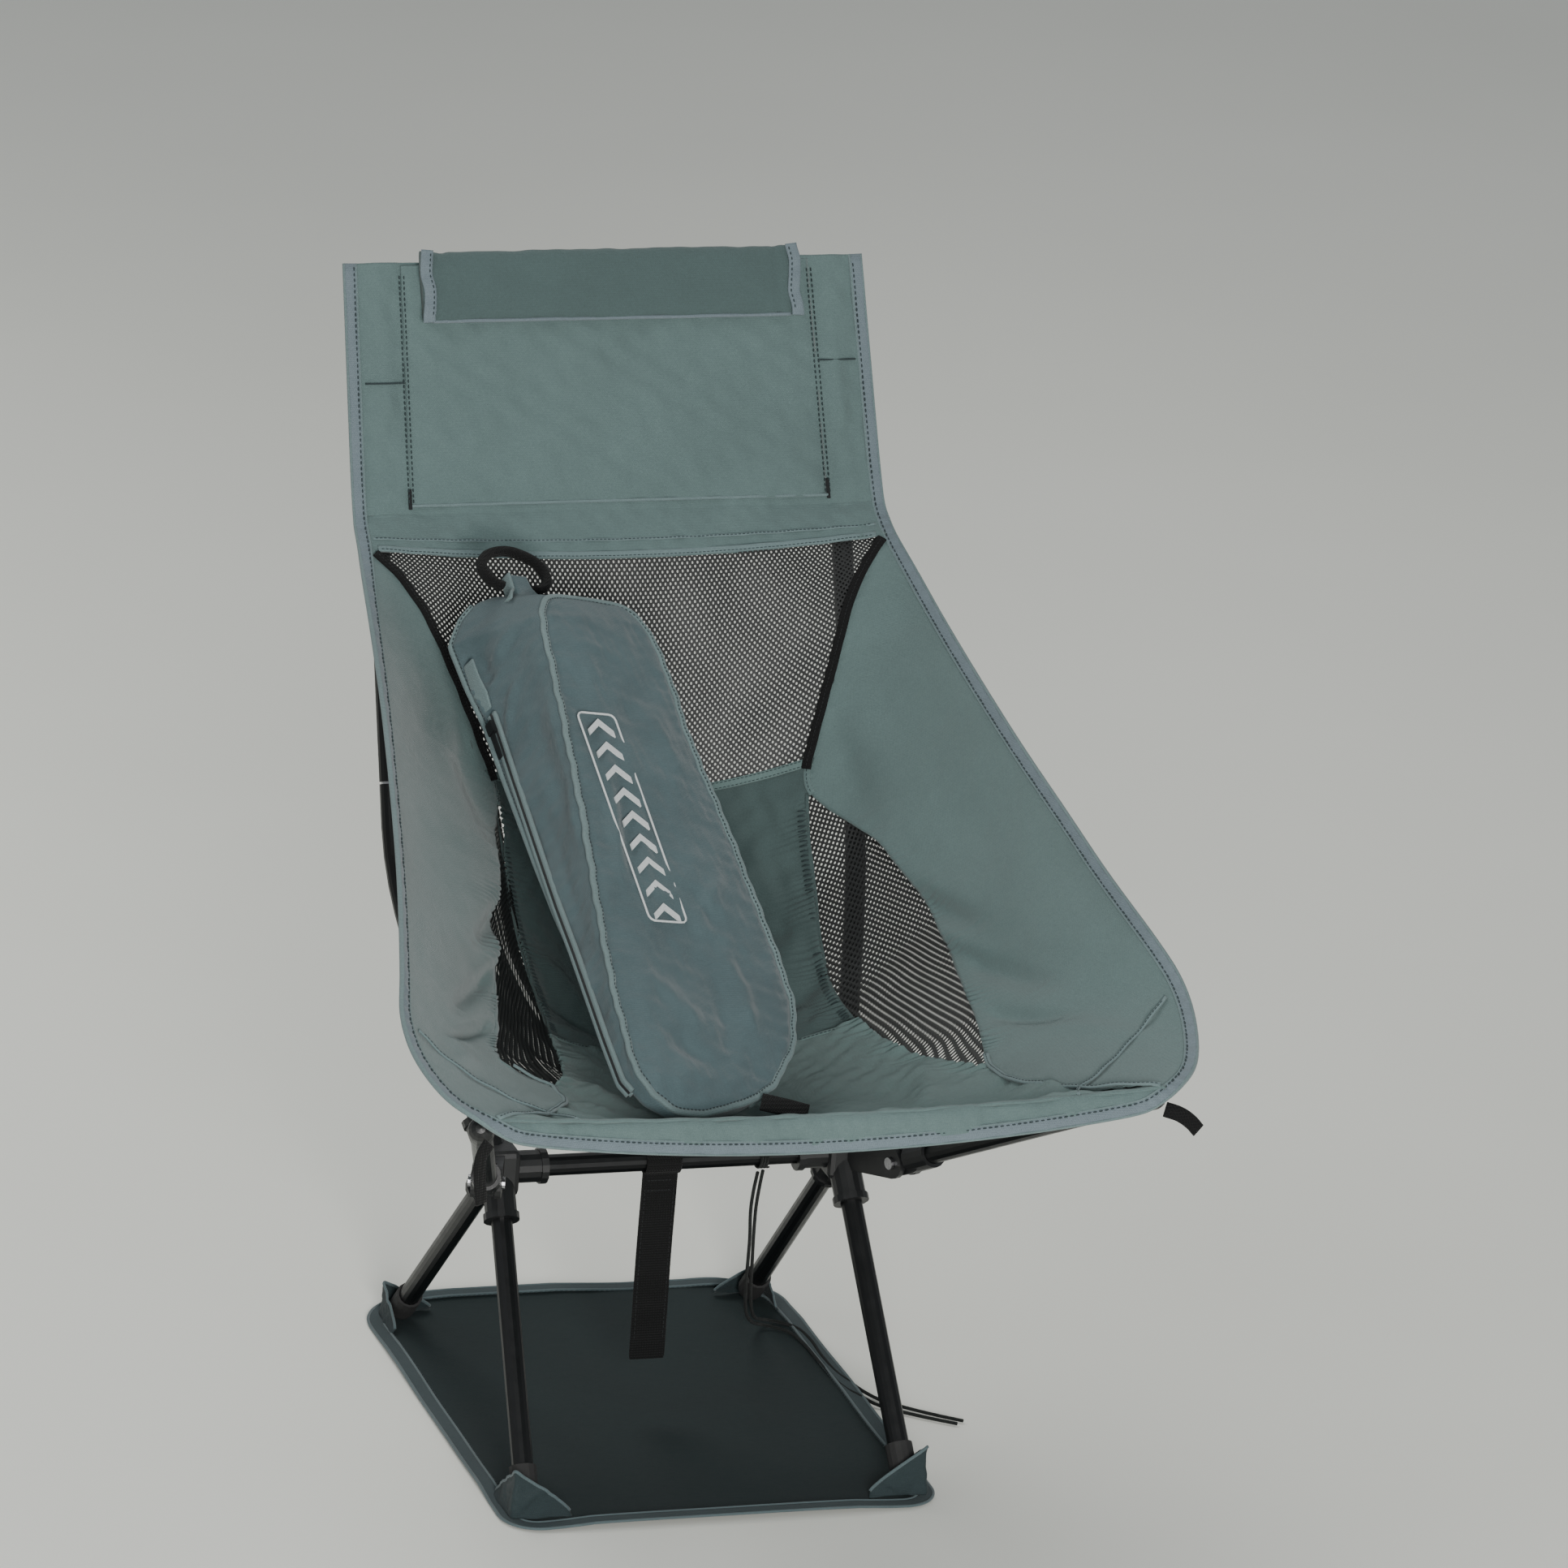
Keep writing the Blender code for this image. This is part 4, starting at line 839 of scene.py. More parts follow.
def net_relief(across, place, points, side=1):
    """Slight waves of a net."""
    return 0.0012 * undulation(points, 71 + side, 0.070)


def corner_relief(across, place, points, side):
    """Slight waves of a corner piece."""
    return 0.0006 * undulation(points, 91 + side, 0.03)


def mesh_sag(across):
    """How far the mesh's lower seam drops towards its ends, in stations."""
    return MESH_SAG * np.minimum(np.abs(across) / MESH_END_SHARE, 1.05) ** 2


def seat_edge(place):
    """The share where the centre panel above the seat join ends."""
    return (inner_seam(place) if place < 8.9 else outer_seam(place)) + 0.002


def make_panels():
    """The sling's cloth and net panels, each a little past its seams."""
    across, place = patch(1.04, 11.92, 640, lambda v: outer_seam(v) - 0.004, lambda v: 0.998, 44)
    side_cloth("wing_cloth", across, place, wing_relief, 0.0, 0.0010, FABRIC, "sling_fabric", "wing")
    across, place = patch(
        3.78, 8.88, 60, lambda v: inner_seam(v) - 0.016, lambda v: outer_seam(v) + 0.007, 16)
    side_cloth(
        "side_net", across, place, net_relief, -0.0020, 0.0018, SIDE_NET, "black_mesh", "side_mesh")
    across, place = patch(
        SEAT_SEAM - 0.02, MESH_BOTTOM + 0.02, 360, lambda v: -seat_edge(v), seat_edge, 150)
    place = place - mesh_sag(across) * np.clip((place - 8.9) / 0.57, 0.0, 1.0)
    # The seat's back in the darker seat cloth: painted shade.
    centre_cloth(
        "seat_back_cloth", across, place, seat_back_relief, 0.0, 0.0010, SEAT_CLOTH_SHADED, "seat_fabric",
        "seat_back")
    across, place = patch(
        1.0, SEAT_SEAM + 0.03, 260, lambda v: -base_seam(v) - 0.010, lambda v: base_seam(v) + 0.010, 120)
    # The seat's front part in the lighter seat cloth: painted light.
    centre_cloth(
        "seat_base_cloth", across, place, seat_base_relief, 0.0006, 0.0010, SEAT_CLOTH_LIT, "seat_fabric",
        "seat_base")
    across, place = patch(
        MESH_BOTTOM - 0.06, MESH_TOP + 0.06, 70, lambda v: -outer_seam(v) - 0.012,
        lambda v: outer_seam(v) + 0.012, 60)
    across = np.clip(across, -0.965, 0.965)
    place = place - mesh_sag(across) * np.clip((10.4 - place) / 0.9, 0.0, 1.0)
    centre_cloth(
        "back_net", across, place, net_relief, -0.0014, 0.0005, NET, "black_mesh", "back_mesh")
    across, place = patch(MESH_TOP, TOP, 210, lambda v: -0.998, lambda v: 0.998, 150)
    centre_cloth(
        "upper_cloth", across, place, upper_relief, 0.0, 0.0012, FABRIC, "sling_fabric", "upper_back")
    across, place = patch(BEND + 0.03, BEND + 0.985, 130, lambda v: -0.81, lambda v: 0.81, 120)
    centre_cloth(
        "pocket_cloth", across, place, pocket_relief, 0.0016, 0.0010, FABRIC, "sling_fabric",
        "pocket_panel")
    across, place = patch(0.0, 1.02, 26, lambda v: -0.998, lambda v: 0.998, 200)
    centre_cloth(
        "hem_cloth", across, place, hem_relief, 0.0, 0.0014, FABRIC, "sling_fabric", "front_hem")


make_panels()


# ------------------------------------------------------------------ seams, binding and stitches
# Thread dashes on the sling, and the dark marks of painted shade between the pleats beside the inner
# seams.
STITCHES_AND_PLEAT_SHADOWS = []
DARK_STITCHES = []
SLEEVE_FOLDS = {"right": 13.575, "left": 13.52}


def line_on_sling(points, lift, slack=False):
    """A smooth line through (station, share) points: its places and the sling's normals there."""
    flat = smooth_path([(value, share, 0.0) for value, share in points], 0.01)
    places = flat[:, 0]
    shares = flat[:, 1]
    if slack:
        near_edge = np.exp(-((shares - outer_seam(places)) / 0.02) ** 2)
        shares = shares - np.interp(places, *zip(*SLACK_SHIFT)) * near_edge
    path = surface(shares, places)
    normals = surface_normal(shares, places)
    if slack:
        path = path + normals * left_bulge(shares, places)[:, None]
    lengths = lengths_along(path)
    even = np.linspace(0.0, lengths[-1], max(3, int(lengths[-1] / 0.003)))
    path = read_off(path, lengths, even)
    normals = unit(read_off(normals, lengths, even))
    return path + normals * lift, normals


def twin_lines(points, lift):
    """The line on the right and on the slack left, each with its side and label."""
    for side, label in both_sides():
        path, normals = line_on_sling(points, lift, slack=side < 0)
        if side < 0:
            path = flip(path)
            normals = flip(normals)
        yield side, label, path, normals


def shifted(path, normals, sideways):
    """The path moved sideways along the cloth."""
    across = unit(np.cross(unit(np.gradient(path, axis=0)), normals))
    return path + across * sideways


def sew(name, path, normals, width, height, look, rows, threads):
    """A tape on the sling with rows of stitches, each so far to one side of its middle."""
    material, slot = look
    put(band(name, path, normals, width, height, material, 12, 0.7), "sling", slot)
    for offset in rows:
        threads.extend(stitch_boxes(shifted(path, normals, offset), normals, lift=height / 2))


def seam_band(name, points, width, height, look, lift=0.0009, rows=(0.0,), threads=STITCHES_AND_PLEAT_SHADOWS):
    """A sewn hem or tape along a seam on both sides, with rows of stitches on it."""
    for side, label, path, normals in twin_lines(points, lift):
        wave = 0.0005 * np.sin(np.linspace(0.0, len(path) * 0.55, len(path)) + side)
        path = path + normals * wave[:, None]
        sew(f"{name}_{label}", path, normals, width, height, look, rows, threads)


def across_band(name, value, share, width, height, look, lift, rows=(0.0,)):
    """The same for a seam that runs across the sling."""
    shares = np.linspace(-share, share, 160)
    places = np.full_like(shares, value)
    if value == MESH_BOTTOM:
        places = places - mesh_sag(shares)
    normals = surface_normal(shares, places)
    path = surface(shares, places) + normals * (lift + 0.0004 * np.sin(shares * 40.0))[:, None]
    sew(name, path, normals, width, height, look, rows, STITCHES_AND_PLEAT_SHADOWS)


def seam_points(line, low, high, count=24):
    """A stretch of a panel seam as (station, share) points."""
    places = np.linspace(low, high, count)
    return [(float(place), float(np.interp(place, *line))) for place in places]


def painted_pleat_shadows(points, offset, reach, pitch):
    """Short dark marks square to a gathered seam, on one side of it: painted shade in the hollows
    between the pleats.
    """
    for side, _, path, normals in twin_lines(points, 0.0):
        STITCHES_AND_PLEAT_SHADOWS.extend(stitch_boxes(
            shifted(path, normals, offset * side), normals, pitch=pitch, length=0.0012, width=reach,
            lift=0.0024, rise=0.0008))


PLAIN = (FABRIC, "sling_fabric")
# Tapes in the seat cloth's lighter copy, which carries painted light.
SEAT = (SEAT_CLOTH_LIT, "seat_fabric")
SHADED = (SEAT_CLOTH_SHADED, "seat_fabric")
BOUND = (HEM, "edge_binding")
TAPE = (WEBBING, "black_webbing")


def make_seams():
    """Hems, folds and tapes wherever two panels meet."""
    seam_band("window_outer_hem", seam_points(OUTER, 4.0, 8.86), 0.0040, 0.0016, PLAIN, -0.0006, ())
    seam_band("window_inner_hem", seam_points(INNER, 3.75, 8.9), 0.0034, 0.0016, SHADED, -0.0008, ())
    # Dark marks beside the gathered inner seams: painted shade between the pleats.
    painted_pleat_shadows(seam_points(INNER, 5.8, 8.75), -0.0042, 0.0072, 0.0043)
    seam_band(
        "mesh_side_tape", seam_points(OUTER, 9.20, 11.80, 40), 0.0085, 0.0024, TAPE, lift=0.0026,
        threads=DARK_STITCHES)
    seam_band("wing_lower_seam", seam_points(OUTER, 8.86, 9.24, 8), 0.0060, 0.0018, PLAIN)
    seam_band("corner_seam", seam_points(OUTER, 1.06, 4.05, 20), 0.0052, 0.0022, BOUND, lift=0.0022)
    rim_line = ((2.05, 0.72), (2.60, 0.80), (3.20, 0.89), (3.80, 0.975))
    seam_band("pocket_seam_rim", rim_line, 0.0030, 0.0018, BOUND, lift=0.0026)
    hem_line = ((2.05, 0.72), (1.55, 0.715), (1.00, 0.735))
    seam_band("pocket_seam_hem", hem_line, 0.0030, 0.0018, BOUND, lift=0.0024)
    across_band(
        "mesh_bottom_hem", MESH_BOTTOM, MESH_END_SHARE, 0.0075, 0.0020, SEAT, 0.0008,
        (-0.0022, 0.0022))
    across_band("mesh_top_hem", MESH_TOP + 0.05, 0.955, 0.0060, 0.0026, BOUND, 0.0012, (0.0012,))
    across_band("mesh_top_fold", MESH_TOP + 0.36, 0.970, 0.0024, 0.0014, BOUND, 0.0010)
    across_band("seat_join", SEAT_SEAM, 0.430, 0.0050, 0.0018, SEAT, 0.0008, (0.0012,))
    across_band("crest_fold", 1.0, 0.985, 0.0042, 0.0030, PLAIN, 0.0006, ())
    across_band("pocket_bottom_fold", BEND + 0.035, 0.812, 0.0026, 0.0020, BOUND, 0.0020, ())


def lifted(shares, places, lift):
    """Places just off the sling, and its normals there."""
    normals = surface_normal(shares, places)
    return surface(shares, places) + normals * lift, normals


def make_upper_stitches():
    """Stitch lines of the pocket panel and the sleeves, a thread-dark band of painted shade along each
    sleeve's fold, and the bar tacks at the pocket's corners.
    """
    for side, label in both_sides():
        for share in (0.800, 0.817):
            places = np.linspace(BEND + 0.03, TOP - 0.02, 90)
            path, normals = lifted(np.full_like(places, share * side), places, 0.0032)
            STITCHES_AND_PLEAT_SHADOWS.extend(stitch_boxes(path, normals, pitch=0.0046, length=0.0028, width=0.0012))
        # A thread-dark band along the sleeve's fold: painted shade in the crease.
        shares = np.linspace(0.815, 0.965, 20) * side
        places = np.full_like(shares, SLEEVE_FOLDS[label])
        path, normals = lifted(shares, places, 0.0036)
        fold_shadow = band(f"sleeve_fold_shadow_{label}", path, normals, 0.0016, 0.0022, THREAD, 8)
        put(fold_shadow, "sling", "sling_fabric")
        places = np.linspace(BEND + 0.02, BEND + 0.10, 12)
        path, normals = lifted(np.full_like(places, 0.812 * side), places, 0.0026)
        tack = band(f"bar_tack_{label}", path, normals, 0.0032, 0.0016, DARK_THREAD, 8)
        put(tack, "sling", "black_webbing")


def rim_path(reach):
    """The sling's edge from the top left, round the hem, to the top right, reach outside it."""
    hem_share = np.linspace(0.0, 0.985, 60)
    side_place = np.linspace(0.0, TOP, 320)
    shares = np.concatenate((hem_share, np.ones_like(side_place)))
    places = np.concatenate((np.zeros_like(hem_share), side_place))
    points = surface(shares, places)
    normals = surface_normal(np.minimum(shares, 0.98), np.clip(places, 0.02, TOP - 0.02))
    whole = np.vstack((flip(points)[::-1], points[1:]))
    whole_normals = np.vstack((flip(normals)[::-1], normals[1:]))
    whole = smoothed_on(whole, 12)
    whole_normals = unit(smoothed(whole_normals, whole_normals[:12], whole_normals[-12:]))
    outward = np.cross(unit(np.gradient(whole, axis=0)), whole_normals)
    return whole + outward * reach, whole_normals


def make_binding():
    """The folded tape round the sling's edge and the stitches through it."""
    path, normals = rim_path(0.0012)
    rings = swept_rings(path, normals, 0.0115, 0.0036, 16, 0.6)
    wave = 0.00035 * np.sin(np.arange(len(path)) * 0.9)
    rings = rings + normals[:, None, :] * wave[:, None, None]
    put(ring_solid("rim_tape", rings, BINDING), "sling", "edge_binding", "rim_binding")
    for reach, label in ((0.0062, "outer"), (-0.0040, "inner")):
        path, normals = rim_path(reach)
        edge = band(f"rim_fold_{label}", path, normals, 0.0022, 0.0046, HEM, 8, 0.9)
        put(edge, "sling", "edge_binding")
    path, normals = rim_path(-0.0020)
    for face in (1, -1):
        STITCHES_AND_PLEAT_SHADOWS.extend(stitch_boxes(
            path, normals * face, pitch=0.0048, length=0.0030, width=0.0014, lift=0.0020))


make_seams()
make_upper_stitches()
make_binding()


# ------------------------------------------------------------------ sleeves, corner pockets, flap
SLEEVE_DIRECTION = np.array((0.0, 0.3728, 0.9279))
REAR_ELBOW = np.array((0.2035, 0.199, 0.500))
SLEEVE_SPAN = (0.1835, 0.2205)
SLEEVE_CLEARANCE = 0.0125


def make_sleeves():
    """Cloth sleeves behind the upper back that hold the rear poles."""
    middle = sum(SLEEVE_SPAN) / 2
    half = SLEEVE_SPAN[1] - middle
    slope = SLEEVE_DIRECTION[1] / SLEEVE_DIRECTION[2]
    for side, label in both_sides():
        rows = []
        for value in np.linspace(BEND + 0.08, BEND + 0.95, 70):
            height = float(station(value)[1])
            pole = REAR_ELBOW[1] + (height - REAR_ELBOW[2]) * slope
            back = pole + SLEEVE_CLEARANCE / SLEEVE_DIRECTION[2]
            row = []
            for angle in np.linspace(math.pi, 0.0, 30):
                x = middle + half * math.cos(angle)
                share = np.array(x / station(value)[2])
                front = float(surface(share, np.array(value))[1]) + 0.0012
                row.append((side * x, front + (back - front) * math.sin(angle) ** 0.6, height))
            rows.append(row if side > 0 else row[::-1])
        rows = np.array(rows)
        rows[..., 1] += 0.0008 * np.abs(undulation(rows, 81 + side, 0.020))
        piece = cloth(f"sleeve_cloth_{label}", rows, 0.0009, FABRIC)
        put(piece, "sling", "sling_fabric", f"pole_sleeve_{label}")


def pocket_edge(value):
    """Where the corner pocket ends across the sling."""
    return float(np.interp(value, (1.3, 2.05, 3.7), (0.78, 0.73, 0.96)))


def make_corner_pockets():
    """The doubled cloth under each front corner, in the seat cloth's darker copy: painted shade."""
    across, place = patch(1.3, 3.6, 46, pocket_edge, lambda v: 0.95, 26)
    side_cloth(
        "corner_cloth", across, place, corner_relief, -0.0045, 0.0010, SEAT_CLOTH_SHADED, "seat_fabric",
        "corner_pocket")


FLAP_HALF_WIDTH = 0.164
FLAP_TOP = np.array((0.0, 0.349, 0.908))
FLAP_DOWN = unit(np.array((0.0, -0.097, -0.190)))
FLAP_FRONT = np.array((0.0, FLAP_DOWN[2], -FLAP_DOWN[1]))


def flap_point(down, forward, across=0.0):
    """A point of the flap, measured down and forward from the sling's top edge."""
    return FLAP_TOP + FLAP_DOWN * down + FLAP_FRONT * forward + np.array((across, 0.0, 0.0))


def rounded(value, power):
    """The value to a power, with its sign kept."""
    return math.copysign(abs(value) ** power, value)


def flap_rings():
    """Rings of the roll from end to end, fuller in front than behind and lower at its ends."""
    angles = np.linspace(0.0, 2 * math.pi, 72, endpoint=False)
    rings = []
    for share in np.linspace(-1.0, 1.0, 120):
        edge = 1.0 - 0.10 * abs(share) ** 10
        ring = []
        for angle in angles:
            fullness = 0.0075 if math.sin(angle) > 0 else 0.0052
            down = 0.0228 + 0.0295 * rounded(math.cos(angle), 0.62)
            forward = 0.0108 + fullness * rounded(math.sin(angle), 0.72) * edge
            ring.append(flap_point(down, forward, share * FLAP_HALF_WIDTH))
        rings.append(ring)
    return np.array(rings)


def make_flap():
    """The headrest: a padded roll of cloth over the top edge, bound at both ends, its cloth darkened as
    painted shade.
    """
    rings = flap_rings()
    middle = rings.mean(axis=1, keepdims=True)
    outward = unit(rings - middle)
    height = 0.0005 * undulation(rings, 101, 0.060) + 0.0004 * undulation(rings, 102, 0.018)
    height = height - 0.0012 * np.exp(-((np.abs(rings[..., 0]) - 0.146) / 0.004) ** 2)
    flap = ring_solid("headrest_roll", rings + outward * height[..., None], HEADREST_SHADED_CLOTH)
    put(flap, "headrest", "sling_fabric", "headrest_flap")
    boxes = []
    for side, label in both_sides():
        downs = np.linspace(-0.0070, 0.0545, 40)
        path = flap_point(downs[:, None], 0.0194 + 0.0007 * np.sin(downs * 320.0)[:, None])
        path[:, 0] = side * (FLAP_HALF_WIDTH - 0.0035 + 0.0012 * np.sin(downs * 150.0))
        tape = band(f"flap_tape_{label}", path, FLAP_FRONT, 0.0105, 0.0028, BINDING, 14, 0.6)
        put(tape, "headrest", "edge_binding")
        path[:, 0] -= side * 0.0028
        boxes.extend(stitch_boxes(path, FLAP_FRONT, pitch=0.0046, width=0.0012, lift=0.0016))
    places = np.linspace(-0.157, 0.157, 120)
    path = flap_point(0.0525, 0.0125 + 0.0004 * np.sin(places * 90.0)[:, None])
    path[:, 0] = places
    hem = band("flap_lower_hem", path, FLAP_FRONT, 0.0030, 0.0036, BINDING, 12, 0.7)
    put(hem, "headrest", "edge_binding")
    put(stitch_object("flap_stitches", boxes, THREAD), "headrest", "edge_binding")


TABS = (  # label, route from its seam, the way it is wide
    ("right", (
        (0.2765, -0.4010, 0.4220), (0.288, -0.4045, 0.4185), (0.297, -0.4065, 0.4125),
        (0.304, -0.4075, 0.405)), (0.45, 0.30, 0.84)),
    ("left", (
        (-0.2845, -0.403, 0.4225), (-0.292, -0.408, 0.412), (-0.292, -0.409, 0.395),
        (-0.289, -0.408, 0.374)), (0.85, 0.45, 0.25)),
)


def make_tabs():
    """Short webbing tails at the front corners."""
    for label, points, wide in TABS:
        path = smooth_path(points, 0.002)
        tangent = unit(np.gradient(path, axis=0))
        normals = unit(np.cross(np.array(wide), tangent))
        piece = band(f"tab_{label}", path, normals, 0.0125, 0.0020, WEBBING, 12, 0.45)
        put(piece, f"pull tab {label}", "black_webbing", f"pull_tab_{label}")


make_sleeves()
make_corner_pockets()
make_flap()
make_tabs()


# ------------------------------------------------------------------ ground sheet
SHEET_HALF_WIDTH = 0.184
SHEET_FRONT = -0.214
SHEET_BACK = 0.268
SHEET_CORNER = 0.030
REAR_CORNER = 0.056
FRONT_FOOT = np.array((0.1635, -0.180, 0.0148))
REAR_FOOT = np.array((0.157, 0.222, 0.0148))
FOOT_RADIUS = 0.0115
UPWARD = (0.0, 0.0, 1.0)
FLAT = np.array((1.0, 1.0, 0.0))
POCKET_HEIGHT = {"front": 0.036, "rear": 0.025}
POCKET_REACH = {"front": 0.034, "rear": 0.029}


def sheet_outline():
    """The sheet's outline: rounded corners, the two at the rear drawn in round the feet."""
    outline = []
    corners = ((1, -1, SHEET_CORNER), (1, 1, REAR_CORNER), (-1, 1, REAR_CORNER), (-1, -1, SHEET_CORNER))
    for turn, (right, behind, radius) in enumerate(corners):
        x = right * (SHEET_HALF_WIDTH - radius)
        y = SHEET_BACK - radius if behind > 0 else SHEET_FRONT + radius
        for step in range(13):
            angle = math.pi / 2 * (turn - 1 + step / 12)
            outline.append((x + radius * math.cos(angle), y + radius * math.sin(angle), 0.0))
    outline.append(outline[0])
    return resample(outline, 0.004)[:-1]


def sheet_height(points):
    """How high the sheet lies: it lifts a little along its edges, except at the feet."""
    x = points[..., 0]
    y = points[..., 1]
    to_end = np.minimum(y - SHEET_FRONT, SHEET_BACK - y)
    edge = np.minimum(SHEET_HALF_WIDTH - np.abs(x), to_end)
    lift = np.exp(-np.clip(edge, 0.0, None) / 0.022)
    wave = 0.5 + 0.5 * undulation(points * FLAT, 111, 0.16)
    gap = np.minimum(
        np.hypot(np.abs(x) - FRONT_FOOT[0], y - FRONT_FOOT[1]),
        np.hypot(np.abs(x) - REAR_FOOT[0], y - REAR_FOOT[1]))
    clear = np.clip((gap - 0.030) / 0.03, 0.0, 1.0)
    return 0.0012 + 0.0040 * lift * (0.35 + 0.65 * np.clip(wave, 0.0, 1.2)) * (0.25 + 0.75 * clear)


def make_sheet():
    """The sheet's cloth, and the bound edge with its two folds, lighter as painted highlight, and its
    stitches.
    """
    outline = sheet_outline()
    centre = np.array((0.0, (SHEET_FRONT + SHEET_BACK) / 2, 0.0))
    shares = np.concatenate((np.linspace(1.0, 0.86, 14), np.linspace(0.83, 0.04, 22)))
    grid = np.array([centre + (outline - centre) * share for share in shares])
    grid[..., 2] = sheet_height(grid) + 0.0003 * undulation(grid * FLAT, 113, 0.05)
    rows, columns = grid.shape[:2]
    faces = grid_faces(rows, columns, wrap=True)
    faces.append(tuple(range((rows - 1) * columns, rows * columns)))
    points = grid.reshape(-1, 3)
    piece = new_object("sheet_cloth", points, faces, SHEET)
    skin = piece.modifiers.new("thickness", "SOLIDIFY")
    skin.thickness = 0.0006
    skin.offset = 0.0
    put(piece, "ground sheet", "sheet_fabric", "ground_sheet")
    outline[:, 2] = sheet_height(outline) + 0.0002
    along = np.roll(outline, -1, axis=0) - np.roll(outline, 1, axis=0)
    inward = unit(np.cross(UPWARD, along))
    tape = closed_band("sheet_tape", outline + inward * 0.0030, UPWARD, 0.0130, 0.0022, SHEET_EDGE)
    trims = [tape]
    # The hem's two folds in the lighter fold cloth: painted highlight.
    for number, (reach, width) in enumerate(((-0.0030, 0.0026), (0.0098, 0.0022))):
        line = outline + inward * reach
        line[:, 2] += 0.0005
        trims.append(closed_band(f"sheet_fold_{number}", line, UPWARD, width, 0.0022, SHEET_FOLD_HIGHLIGHT, 8))
    line = outline + inward * 0.0120
    line[:, 2] += 0.0002
    boxes = stitch_boxes(
        np.vstack((line, line[:1])), UPWARD, pitch=0.0046, length=0.003, lift=0.0002)
    trims.insert(1, stitch_object("sheet_stitches", boxes, THREAD))
    for trim in trims:
        put(trim, "ground sheet", "sheet_fabric")
    round(sheet_area(faces, points), 4)


def sheet_area(faces, points):
    """The cloth's area in square metres."""
    total = 0.0
    for face in faces:
        corners = points[list(face)]
        total += 0.5 * np.linalg.norm(
            np.cross(corners[1:-1] - corners[0], corners[2:] - corners[0]).sum(axis=0))
    return float(total)


def foot_wall(side, place, foot, outward):
    """Rows of points up the cloth round one foot, from one side of the corner to the other."""
    clear = FOOT_RADIUS + 0.0022
    reach = POCKET_REACH[place]
    rows = []
    for angle in np.linspace(0.0, math.pi / 2, 60):
        cosine = math.cos(angle)
        sine = math.sin(angle)
        turn = cosine - sine
        x = foot[0] + clear * min(1.0, 1.35 * cosine) - reach * max(0.0, -turn)
        y = clear * min(1.0, 1.35 * sine) - reach * max(0.0, turn)
        top = POCKET_HEIGHT[place] * (1.0 - abs(turn)) ** 0.8 + 0.004
        column = []
        for rise in np.linspace(0.0, 1.0, 24):
            flare = 0.0035 * (1.0 - rise) ** 2
            across = side * (x + flare * cosine)
            forward = foot[1] + outward * (y + flare * sine)
            column.append((across, forward, 0.0036 + top * rise))
        rows.append(column)
    rows = np.array(rows)
    crumple = 0.0012 * undulation(rows, 121 + side, 0.020) + 0.0005 * undulation(rows, 123, 0.008)
    away = unit(rows - np.array((side * foot[0], foot[1], 0.02)))
    return rows + away * np.clip(crumple, -0.0002, None)[..., None]


def make_foot_pockets():
    """Triangles of cloth that wrap round each foot at the sheet's corners."""
    for side, label in both_sides():
        for place, foot, outward in (("front", FRONT_FOOT, -1), ("rear", REAR_FOOT, 1)):
            rows = foot_wall(side, place, foot, outward)
            edge = rows[:, -1]
            if side * outward < 0:
                rows = rows[:, ::-1]
            piece = cloth(f"foot_cloth_{place}_{label}", rows, 0.0008, FOOT_CLOTH)
            put(piece, "ground sheet", "sheet_fabric", f"foot_pocket_{place}_{label}")
            normals = unit(edge - np.array((side * foot[0], foot[1], edge[:, 2].mean())))
            name = f"foot_hem_{place}_{label}"
            # The pocket's hem in the lighter fold cloth: painted highlight.
            hem = band(name, edge, normals, 0.0026, 0.0018, SHEET_FOLD_HIGHLIGHT, 10, 0.7)
            put(hem, "ground sheet", "sheet_fabric")


make_sheet()
make_foot_pockets()


# ------------------------------------------------------------------ strap
STRAP_WIDTH = 0.031
STRAP_PLACE = -0.008
STRAP_TOP = 0.221
STRAP_END = 0.0535


